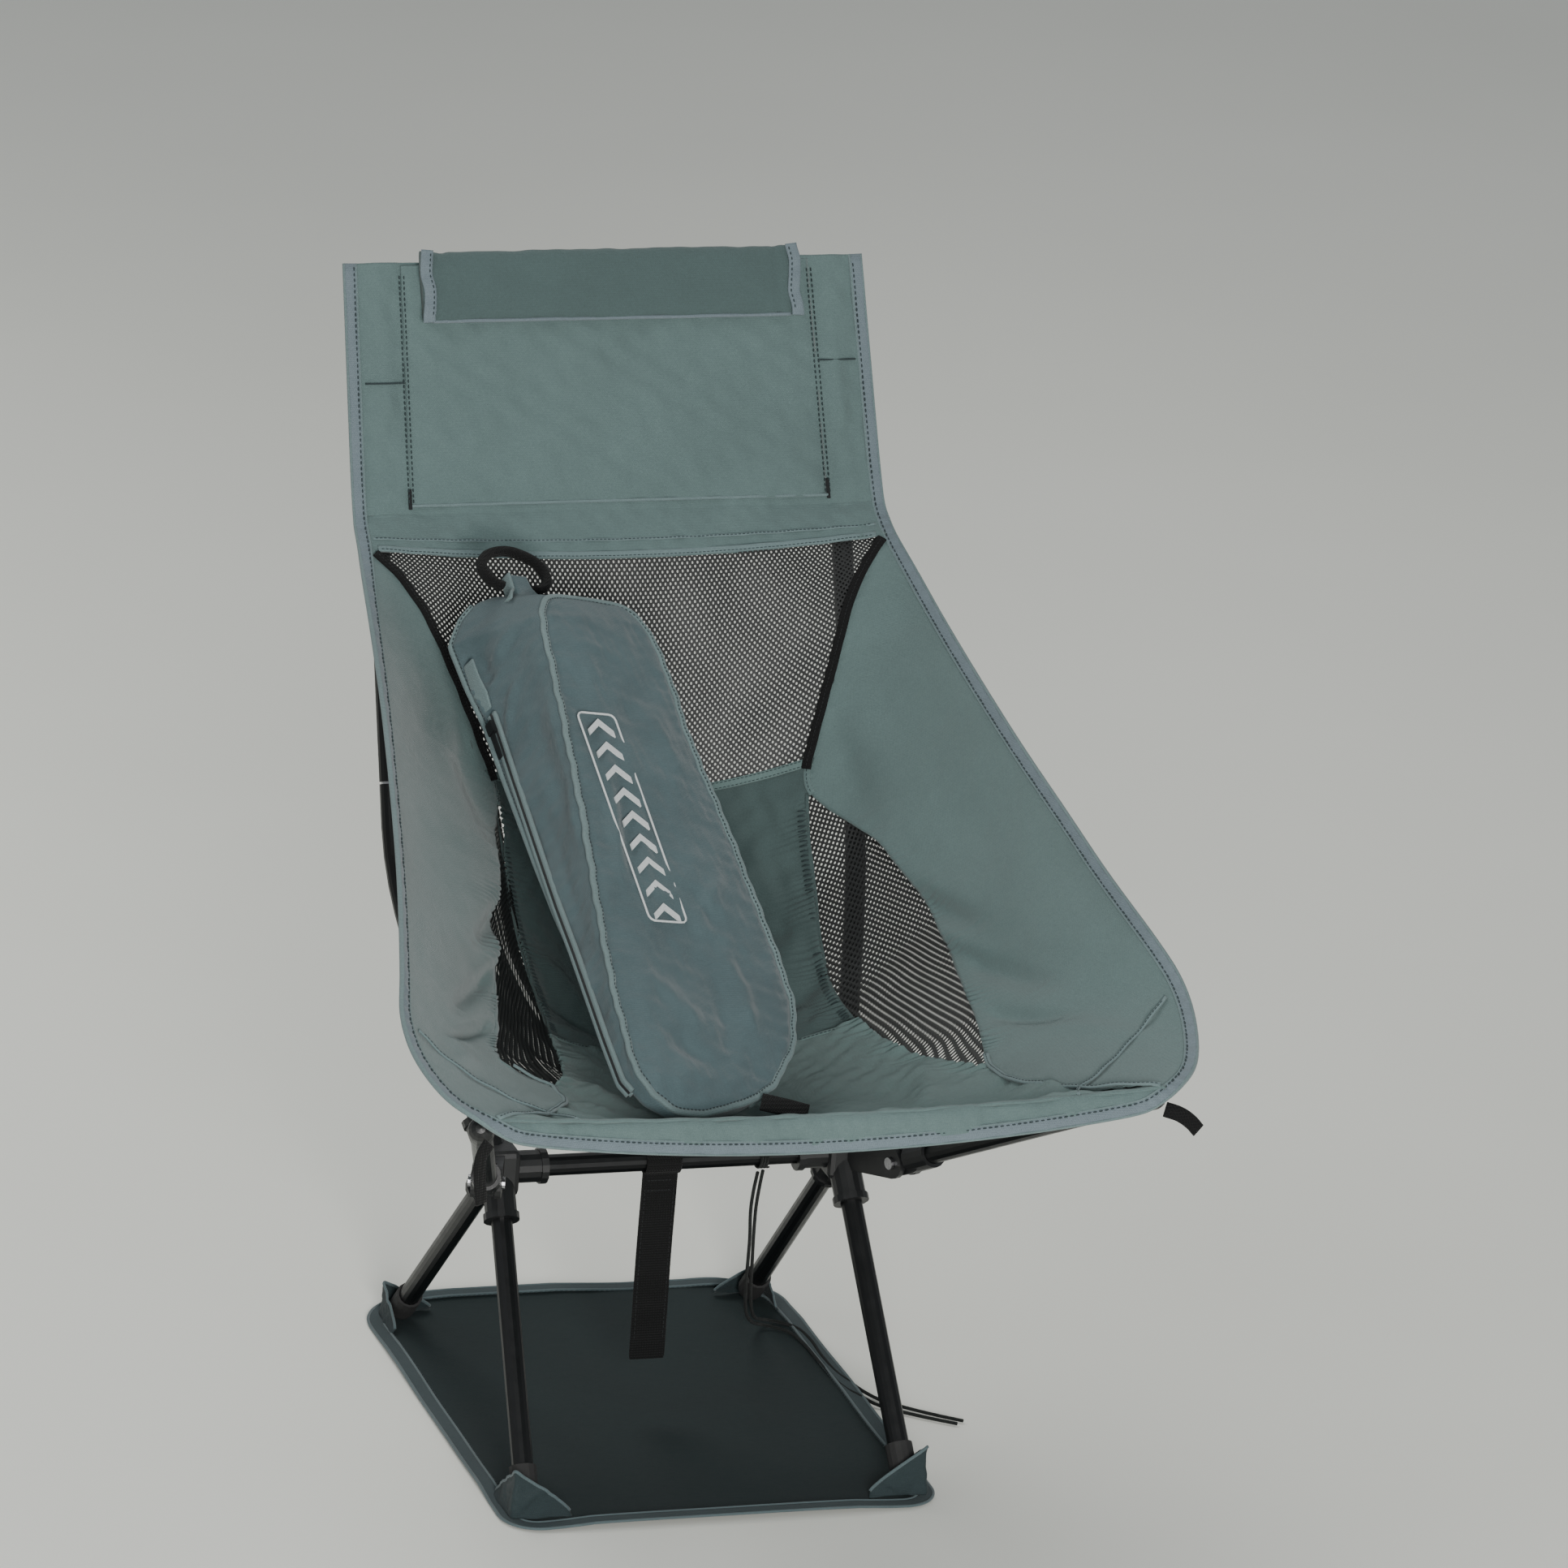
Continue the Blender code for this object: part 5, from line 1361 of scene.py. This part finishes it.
def make_strap():
    """The wide storage strap: a turn round the crossbar and a tail that hangs with a slight curl."""
    angles = np.linspace(0.0, 2 * math.pi, 49)[:-1]
    outward = np.stack((np.zeros(48), np.cos(angles), np.sin(angles)), axis=1)
    loop = np.array((STRAP_PLACE, 0.0, CROSSBAR_HEIGHT)) + 0.0110 * outward
    sideways, high = section(STRAP_WIDTH, 0.0022, 16, 0.35)
    rings = loop[:, None, :] + high[None, :, None] * outward[:, None, :]
    rings[..., 0] += sideways
    faces = grid_faces(48, 16, wrap=True, close=True)
    wrap = new_object("strap_loop", rings.reshape(-1, 3), faces, WEBBING)
    put(wrap, "hanging strap", "black_webbing")
    heights = np.linspace(STRAP_TOP, STRAP_END, 90)
    drop = (STRAP_TOP - heights) / 0.17
    curl = -0.0005 + 0.0020 * np.sin(drop * 5.0) * drop
    path = np.stack((STRAP_PLACE - 0.0010 * drop, curl, heights), axis=1)
    taper = np.clip(((1.0 - drop) / 0.05), 0.0, 1.0) ** 0.35 * 0.12 + 0.88
    tail = band("strap_tail", path, (0.0, 1.0, 0.0), STRAP_WIDTH, 0.0024, WEBBING, 18, 0.30, taper)
    put(tail, "hanging strap", "black_webbing", "hanging_strap")
    boxes = []
    for shift in (-0.0125, 0.0125):
        for face in (1, -1):
            boxes.extend(stitch_boxes(
                path[6:-8] + np.array((shift, 0.0, 0.0)), (0.0, face, 0.0), pitch=0.0040, lift=0.0013))
    for height in (0.214, 0.205):
        across = np.linspace(STRAP_PLACE - 0.013, STRAP_PLACE + 0.013, 20)
        row = np.stack((across, np.full(20, -0.0003), np.full(20, height)), axis=1)
        boxes.extend(stitch_boxes(row, (0.0, -1.0, 0.0), pitch=0.0030, width=0.0009, lift=0.0014))
    thread = stitch_object("strap_stitches", boxes, DARK_THREAD)
    put(thread, "hanging strap", "black_webbing")


make_strap()


# ------------------------------------------------------------------ carry bag
BAG_BOTTOM = np.array((-0.042, -0.312, 0.408))
BAG_TOP = np.array((-0.083, 0.108, 0.717))
BAG_TURN = math.radians(20.0)
BAG_SECTIONS = (  # share of length, middle, half width, front inset, depth, back's lean and rise
    (-0.025, -0.062, 0.018, 0.004, 0.010, 0.000, 0.000),
    (0.000, -0.048, 0.048, 0.001, 0.018, 0.000, 0.000),
    (0.040, -0.036, 0.070, 0.000, 0.023, 0.000, 0.000),
    (0.120, -0.019, 0.086, 0.000, 0.028, 0.000, 0.000),
    (0.200, -0.011, 0.091, 0.000, 0.034, 0.000, 0.000),
    (0.300, -0.008, 0.087, 0.000, 0.046, 0.000, 0.000),
    (0.400, -0.006, 0.081, 0.000, 0.060, 0.001, 0.000),
    (0.510, -0.003, 0.0745, 0.000, 0.074, 0.002, 0.000),
    (0.690, -0.002, 0.0635, 0.000, 0.090, 0.005, 0.002),
    (0.780, 0.001, 0.061, 0.000, 0.092, 0.011, 0.008),
    (0.840, 0.002, 0.059, 0.000, 0.094, 0.019, 0.017),
    (0.900, 0.003, 0.054, 0.002, 0.090, 0.031, 0.025),
    (0.940, 0.004, 0.044, 0.005, 0.078, 0.031, 0.026),
    (0.958, -0.006, 0.030, 0.013, 0.056, 0.026, 0.026),
    (0.972, -0.018, 0.017, 0.025, 0.034, 0.014, 0.020),
    (0.988, -0.0265, 0.0108, 0.034, 0.018, 0.003, 0.006),
    (1.004, -0.029, 0.0095, 0.036, 0.013, 0.000, 0.000),
    (1.026, -0.030, 0.0090, 0.0365, 0.012, 0.000, 0.000),
)
TOP_SHARES = (0.936, 0.945, 0.950, 0.952, 0.951, 0.947, 0.938)
TOP_ACROSS = (-0.036, -0.030, -0.018, 0.000, 0.018, 0.034, 0.044)
MARK_SHARES = (0.705, 0.318)
MARK_ACROSS = (-0.0335, -0.0205)
MARK_LIFTS = (0.0050, 0.0068)
MARK_COUNT = 9
FOOT_TAB = ((-0.034, -0.3170, 0.4105), (-0.014, -0.3250, 0.4075), (0.001, -0.3310, 0.4045))
ZIP_SHARES = (0.02, 0.785)
ZIP_INWARD = 0.80
HANDLE_PIVOT = (1.008, -0.029, 0.042)
HANDLE_LOOP = ((0.0165, 0.0), (0.0280, 0.006), (0.0320, 0.018), (0.0240, 0.031), (0.0, 0.038))


def bag_axes():
    """Directions along the bag, across its front and into its depth."""
    length = unit(BAG_TOP - BAG_BOTTOM)
    level = unit(np.array((1.0, 0.0, 0.0)) - length * length[0])
    behind = np.cross(length, level)
    if behind[2] > 0:
        behind = -behind
    width = level * math.cos(BAG_TURN) + behind * math.sin(BAG_TURN)
    depth = behind * math.cos(BAG_TURN) - level * math.sin(BAG_TURN)
    return length, width, depth


BAG_LENGTH, BAG_WIDTH, BAG_DEPTH = bag_axes()
BAG_REACH = float(np.linalg.norm(BAG_TOP - BAG_BOTTOM))


def bag_profile():
    """The bag's sections at closely spaced shares, with the corners between them eased."""
    given, *columns = zip(*BAG_SECTIONS)
    shares = np.linspace(given[0], given[-1], 1052)
    return shares, [smoothed_on(np.interp(shares, given, column), 7) for column in columns]


BAG_SHARES, BAG_COLUMNS = bag_profile()


def bag_section(share):
    """A section's middle, half width, front inset, depth, lean and rise at a share of the length."""
    return [np.interp(share, BAG_SHARES, column) for column in BAG_COLUMNS]


def bag_place(share, across, inward):
    """A point of the bag: share along it, metres across and metres in from its front."""
    share = np.asarray(share, dtype=float)
    middle, _, inset, thick, lean, rise = bag_section(share)
    back = np.asarray(inward, dtype=float) / thick
    across = np.asarray(across, dtype=float) + middle - lean * back
    along = share * BAG_REACH + rise * back
    inward = np.asarray(inward, dtype=float) + inset
    return (
        BAG_BOTTOM + along[..., None] * BAG_LENGTH + across[..., None] * BAG_WIDTH
        + inward[..., None] * BAG_DEPTH)


def bag_corner(share, way, back):
    """A point on the bag's long edges: way -1 left or 1 right, at its front or its back."""
    _, half, _, thick, _, _ = bag_section(share)
    radius = np.minimum(0.010, 0.35 * thick) if back else np.minimum(0.004, 0.30 * thick)
    cut = radius * 0.293
    return bag_place(share, way * (half - cut), thick - cut if back else cut)


FRONT_COUNT = 64
CORNER_COUNT = 5
GUSSET_COUNT = 30
BACK_COUNT = 26


def bag_arc(x, y, radius, first):
    """The places between the ends of a quarter circle that starts at first quarter turns."""
    angles = math.pi / 2 * (first + np.linspace(0.0, 1.0, CORNER_COUNT + 2)[1:-1])
    return [(x + radius * math.cos(angle), y + radius * math.sin(angle)) for angle in angles]


def bag_ring(half, thick):
    """Outline of a section as (across, inward), from the front's left end, turning right."""
    front = min(0.004, 0.30 * thick, 0.3 * half)
    back = min(0.010, 0.35 * thick, 0.4 * half)
    rises = np.linspace(front, thick - back, GUSSET_COUNT)
    outline = [(step * (half - front), 0.0) for step in np.linspace(-1.0, 1.0, FRONT_COUNT)]
    outline += bag_arc(half - front, front, front, -1)
    outline += [(half, value) for value in rises]
    outline += bag_arc(half - back, thick - back, back, 0)
    outline += [(step * (half - back), thick) for step in np.linspace(1.0, -1.0, BACK_COUNT)]
    outline += bag_arc(back - half, thick - back, back, 1)
    outline += [(-half, value) for value in rises[::-1]]
    return outline + bag_arc(front - half, front, front, 2)


def creases(run, second, rows):
    """Soft ridges between points of a panel in metres, hollows where the height is negative."""
    here = np.stack((run, second), axis=-1)
    total = 0.0
    for start, end, width, height in rows:
        share, swell = ridge(here, np.array(start), np.array(end), width, height)
        total = total + swell * np.sin(np.pi * np.clip(share, 0.04, 0.96)) ** 0.7
    return total


# Creases: start and end along and across the panel, width and height, all in metres.
FRONT_CREASES = (
    ((0.305, -0.040), (0.180, -0.055), 0.007, 0.0045),
    ((0.330, -0.020), (0.150, -0.062), 0.009, -0.0035),
    ((0.110, -0.050), (0.060, -0.005), 0.008, 0.0042),
    ((0.125, 0.010), (0.040, 0.020), 0.011, -0.0055),
    ((0.140, 0.030), (0.050, 0.045), 0.007, 0.0040),
    ((0.215, 0.045), (0.175, 0.010), 0.006, 0.0035),
    ((0.200, 0.010), (0.165, 0.030), 0.007, -0.0035),
    ((0.400, 0.005), (0.330, 0.040), 0.012, 0.0035),
    ((0.420, 0.030), (0.360, 0.000), 0.012, -0.0030),
    ((0.060, -0.045), (0.030, 0.000), 0.008, -0.0045),
)
GUSSET_CREASES = (
    ((0.462, 0.070), (0.430, 0.070), 0.011, -0.0080),
    ((0.470, 0.084), (0.482, 0.030), 0.005, 0.0035),
    ((0.448, 0.058), (0.468, 0.024), 0.005, 0.0040),
    ((0.440, 0.086), (0.412, 0.084), 0.006, 0.0035),
    ((0.425, 0.040), (0.385, 0.068), 0.005, 0.0042),
    ((0.400, 0.035), (0.250, 0.020), 0.012, -0.0035),
    ((0.440, 0.012), (0.200, 0.010), 0.006, 0.0020),
    ((0.330, 0.050), (0.150, 0.020), 0.008, -0.0025),
)


def front_relief(run, across, edge, points):
    """Height of the bag's front panel: a soft crown, long folds and puckers along its seams."""
    height = 0.0052 * np.clip(edge / 0.035, 0.0, 1.0) ** 0.6
    height += 0.0016 * undulation(points, 131, 0.085) + 0.0007 * undulation(points, 132, 0.030)
    height += 0.0003 * undulation(points, 133, 0.011)
    pucker = np.sin(2 * math.pi * run / 0.0125 + 2.2 * np.sin(run * 47.0) + across * 30.0)
    return height + creases(run, across, FRONT_CREASES) + 0.0009 * pucker * np.exp(-edge / 0.010)


def gusset_relief(run, inward, points):
    """Height of the bag's broad left side: a hollow and pleats near its upper back corner."""
    height = 0.0013 * undulation(points, 141, 0.055) + 0.0005 * undulation(points, 142, 0.016)
    pucker = np.sin(2 * math.pi * run / 0.0085 + 2.0 * np.sin(run * 61.0))
    near_zip = np.exp(-((inward - 0.085) / 0.012) ** 2)
    return height + creases(run, inward, GUSSET_CREASES) + 0.0010 * pucker * near_zip


def make_bag_cloth():
    """The bag's cloth as one closed skin, each panel with its own relief."""
    shares = np.concatenate((
        np.linspace(-0.025, 0.08, 40), np.linspace(0.085, 0.80, 150), np.linspace(0.805, 1.026, 80)))
    _, half, _, thick, _, _ = bag_section(shares)
    outline = np.array([bag_ring(float(a), float(b)) for a, b in zip(half, thick)])
    across = outline[..., 0]
    inward = outline[..., 1]
    grid_share = np.repeat(shares[:, None], outline.shape[1], axis=1)
    rings = bag_place(grid_share, across, inward)
    run = grid_share * BAG_REACH
    column = np.arange(outline.shape[1])
    first_right = FRONT_COUNT + CORNER_COUNT
    first_left = first_right + GUSSET_COUNT + BACK_COUNT + 2 * CORNER_COUNT
    ends = np.clip((run + 0.013) / 0.03, 0.0, 1.0) * np.clip((0.500 - run) / 0.03, 0.0, 1.0)
    edge = half[:, None] - np.abs(across)
    front = (column < FRONT_COUNT) * np.clip((edge - 0.004) / 0.004, 0.0, 1.0) * ends
    rim = np.minimum(inward, thick[:, None] - inward)
    side = np.clip((rim - 0.003) / 0.006, 0.0, 1.0) * ends
    left = ((column >= first_left) & (column < first_left + GUSSET_COUNT)) * side
    right = ((column >= first_right) & (column < first_right + GUSSET_COUNT)) * side
    rings = rings - BAG_DEPTH * (front * front_relief(run, across, edge, rings))[..., None]
    rings = rings - BAG_WIDTH * (left * gusset_relief(run, inward, rings))[..., None]
    rings = rings + BAG_WIDTH * (right * 0.0012 * undulation(rings, 151, 0.045))[..., None]
    put(ring_solid("bag_cloth", rings, BAG), "bag", "bag_fabric", "bag_body")


def make_bag_piping():
    """Bound seams round the front panel and along the back edges."""
    along = np.linspace(0.006, 0.925, 130)
    middle = bag_section(TOP_SHARES)[0]
    top = bag_place(TOP_SHARES, np.array(TOP_ACROSS) - middle, 0.0012)
    foot = bag_place(np.full(7, -0.024), np.linspace(0.014, -0.014, 7), 0.001)
    outline = np.vstack((bag_corner(along, -1, False), top, bag_corner(along[::-1], 1, False), foot))
    outline = resample(np.vstack((outline, outline[:1])), 0.003)[:-1]
    line = smoothed(outline, outline[-4:], outline[:4])
    wander = np.sin(np.arange(len(line)) * 0.9) + np.sin(np.arange(len(line)) * 0.37)
    line = line - BAG_DEPTH * 0.0010 + BAG_WIDTH * (0.0005 * wander)[:, None]
    piping = closed_band("bag_front_piping", line, -BAG_DEPTH, 0.0060, 0.0042, BAG_PIPING, 12, 0.8)
    put(piping, "bag", "bag_fabric")
    inner = line + unit(line.mean(axis=0) - line) * 0.0022 - BAG_DEPTH * 0.0022
    boxes = stitch_boxes(inner, -BAG_DEPTH, pitch=0.0038, length=0.0022, width=0.0009, lift=0.0)
    for way, label in ((-1, "left"), (1, "right")):
        path = bag_corner(np.linspace(0.02, 0.955 if way < 0 else 0.93, 120), way, True)
        path = path + BAG_WIDTH * way * 0.0012
        outward = BAG_WIDTH * way
        name = f"bag_back_piping_{label}"
        put(band(name, path, outward, 0.0052, 0.0040, BAG_PIPING, 10, 0.9), "bag", "bag_fabric")
        boxes.extend(stitch_boxes(path - BAG_DEPTH * 0.0042, outward, pitch=0.0040, lift=0.0010))
    put(stitch_object("bag_stitches", boxes, THREAD), "bag", "bag_fabric")


def make_bag_chevrons():
    """A plain printed row of chevrons up the front panel."""
    verts = []
    faces = []
    starts = np.linspace(MARK_SHARES[0] - 0.022, MARK_SHARES[1] + 0.022, MARK_COUNT)
    across = np.interp(starts, MARK_SHARES[::-1], MARK_ACROSS[::-1])
    for share, sideways in zip(starts, across):
        centre = bag_place(share, sideways, 0.0)
        for part in (-1, 1):
            base = len(verts)
            inner = centre + BAG_LENGTH * 0.0060
            outer = centre + BAG_WIDTH * part * 0.0125 - BAG_LENGTH * 0.0050
            thick = BAG_LENGTH * -0.0062
            corners = (inner, outer, outer + thick, inner + thick)
            for lift in MARK_LIFTS:
                verts += [corner - BAG_DEPTH * lift for corner in corners]
            faces += [
                (base, base + 1, base + 2, base + 3), (base + 7, base + 6, base + 5, base + 4),
                (base, base + 4, base + 5, base + 1), (base + 1, base + 5, base + 6, base + 2),
                (base + 2, base + 6, base + 7, base + 3), (base + 3, base + 7, base + 4, base)]
    mark = new_object("bag_chevrons", verts, faces, BAG_PRINT, smooth=False)
    put(mark, "bag", "bag_fabric")


def make_bag_print_frame():
    """The printed line round the chevrons, with rounded corners."""
    low = bag_place(MARK_SHARES[1], MARK_ACROSS[1], 0.0)
    high = bag_place(MARK_SHARES[0], MARK_ACROSS[0], 0.0)
    centre = (low + high) / 2 - BAG_DEPTH * (sum(MARK_LIFTS) / 2)
    long_way = unit(high - low)
    wide_way = unit(BAG_WIDTH - long_way * float(BAG_WIDTH @ long_way))
    reach = float(np.linalg.norm(high - low)) / 2 - 0.0055
    outline = []
    for turn, (right, up) in enumerate(((1, 1), (-1, 1), (-1, -1), (1, -1))):
        for step in range(7):
            angle = math.pi / 2 * (turn + step / 6)
            across = right * 0.0135 + 0.0055 * math.cos(angle)
            along = up * reach + 0.0055 * math.sin(angle)
            outline.append(centre + wide_way * across + long_way * along)
    outline = resample(np.array(outline + outline[:1]), 0.003)[:-1]
    thickness = MARK_LIFTS[1] - MARK_LIFTS[0]
    rule = closed_band("bag_print_frame", outline, -BAG_DEPTH, 0.0016, thickness, BAG_PRINT, 8)
    put(rule, "bag", "bag_fabric")


def make_bag_zip():
    """The zip's two tapes and its teeth along the left side."""
    shares = np.linspace(*ZIP_SHARES, 120)
    _, half, _, thick, _, _ = bag_section(shares)
    middle = bag_place(shares, -half - 0.0022, thick * ZIP_INWARD)
    for offset, label in ((-0.0034, "front"), (0.0034, "back")):
        path = middle + BAG_DEPTH * offset
        tape = band(f"bag_zip_tape_{label}", path, -BAG_WIDTH, 0.0046, 0.0034, BAG_PIPING, 10, 0.7)
        put(tape, "bag", "bag_fabric")
    path = middle - BAG_WIDTH * 0.0008
    teeth = band("bag_zip_teeth", path, -BAG_WIDTH, 0.0030, 0.0022, DARK_THREAD, 8)
    put(teeth, "bag", "black_webbing", "bag_zip")


def make_bag_handle():
    """The stiff webbing ring at the bag's tip."""
    share, across, inward = HANDLE_PIVOT
    pivot = BAG_BOTTOM + BAG_LENGTH * share * BAG_REACH + BAG_WIDTH * across + BAG_DEPTH * inward
    right = [pivot + BAG_WIDTH * side + BAG_LENGTH * beyond for side, beyond in HANDLE_LOOP]
    left = [pivot - BAG_WIDTH * side + BAG_LENGTH * beyond for side, beyond in HANDLE_LOOP]
    path = smooth_path(right + left[-2::-1], 0.0015)
    outward = unit(path - (pivot + BAG_LENGTH * 0.016))
    loop = band("handle_loop", path, outward, 0.0094, 0.0074, WEBBING, 14, 0.7)
    put(loop, "bag handle", "black_webbing", "bag_handle")


def bag_side_path(shares, inward, gap, slack):
    """A line that stands off the bag's left side between two shares of its length."""
    places = np.linspace(*shares, 30)
    _, half, _, thick, _, _ = bag_section(places)
    off = gap + slack * np.sin(np.linspace(0.0, math.pi, 30))
    return bag_place(places, -half - off, thick * inward), places


def make_bag_tabs():
    """The loop of cloth at the tip, the cover over the zip's end and the webbing at the foot."""
    path, _ = bag_side_path((1.028, 0.952), 0.42, 0.0012, 0.0010)
    tab = band("bag_tip_tab", path, -BAG_WIDTH, 0.0135, 0.0024, BAG_PIPING, 12, 0.5)
    put(tab, "bag", "bag_fabric")
    path, shares = bag_side_path((0.795, 0.868), 0.83, 0.0008, 0.0012)
    taper = np.interp(shares, (0.795, 0.815, 0.868), (0.55, 1.0, 0.8))
    cover = band("bag_zip_cover", path, -BAG_WIDTH, 0.0170, 0.0022, BAG_PIPING, 14, 0.5, taper)
    put(cover, "bag", "bag_fabric")
    path = smooth_path(FOOT_TAB, 0.002)
    end = band("bag_foot_tab", path, (0.0, -0.55, 0.83), 0.0175, 0.0022, WEBBING, 12, 0.45)
    put(end, "bag", "black_webbing")


make_bag_cloth()
make_bag_piping()
make_bag_chevrons()
make_bag_print_frame()
make_bag_zip()
make_bag_handle()
make_bag_tabs()


# ------------------------------------------------------------------ frame hardware
def dress_frame():
    """Materials for the CAD solids that show as they are: tubes, hubs, caps, pins and cords."""
    looks = {
        "black_tube": TUBE, "black_plastic": PLASTIC, "foot_rubber": RUBBER, "pin_steel": STEEL,
        "shock_cord": ELASTIC, "black_cord": CORD, "black_webbing": WEBBING, "sling_fabric": FABRIC,
        "seat_fabric": SEAT_CLOTH_SHADED, "edge_binding": BINDING, "black_mesh": NET, "sheet_fabric": SHEET,
        "bag_fabric": BAG}
    for row in frame["record"]["subparts"]:
        node = frame["nodes"].get(row["node"])
        if node is not None:
            node.data.materials.clear()
            node.data.materials.append(looks[row["material_slot"]])


dress_frame()


# ------------------------------------------------------------------ stage
LAMPS = (  # name, place, size, power, color
    ("key", (-1.1, -5.6, 1.9), 1.8, 370.0, (1.0, 0.99, 0.97)),
    ("left", (-2.4, -0.2, 3.4), 2.2, 17.0, (0.95, 0.98, 1.0)),
    ("back", (-0.6, 2.1, 3.4), 2.2, 61.0, (1.0, 1.0, 0.96)),
)
LAMP_AIM = (0.0, 0.0, 0.45)


def make_stage():
    """A pale floor, a pale sky and three soft lamps."""
    look = Nodes("studio_floor")
    speck = look.noise(1.3, 3.0)
    tint = look.ramp(speck, ((0.3, (0.790, 0.795, 0.735)), (0.7, (0.820, 0.825, 0.765))))
    look.link(tint, look.shader.inputs["Base Color"])
    look.shader.inputs["Roughness"].default_value = 0.55
    steps = np.linspace(-16.0, 16.0, 17)
    points = [(x, y, -0.0004) for y in steps for x in steps]
    floor = new_object("studio_floor", points, grid_faces(17, 17), look.material)
    world = bpy.data.worlds.new("studio")
    bpy.context.scene.world = world
    world.use_nodes = True
    background = world.node_tree.nodes["Background"]
    background.inputs["Color"].default_value = (0.93, 0.97, 1.0, 1.0)
    background.inputs["Strength"].default_value = 0.35
    for name, place, size, power, color in LAMPS:
        data = bpy.data.lights.new(name, "AREA")
        data.shape = "DISK"
        data.size = size
        data.energy = power
        data.color = color
        lamp = bpy.data.objects.new(name, data)
        bpy.context.scene.collection.objects.link(lamp)
        turn = (Vector(LAMP_AIM) - Vector(place)).to_track_quat("-Z", "Y")
        lamp.matrix_world = Matrix.Translation(place) @ turn.to_matrix().to_4x4()


make_stage()

# The sling's thread and the painted shade marks between the pleats, as one object.
put(stitch_object("sling_stitches_and_pleat_shadows", STITCHES_AND_PLEAT_SHADOWS, THREAD), "sling", "edge_binding")
put(stitch_object("mesh_stitches", DARK_STITCHES, DARK_THREAD), "sling", "black_webbing")
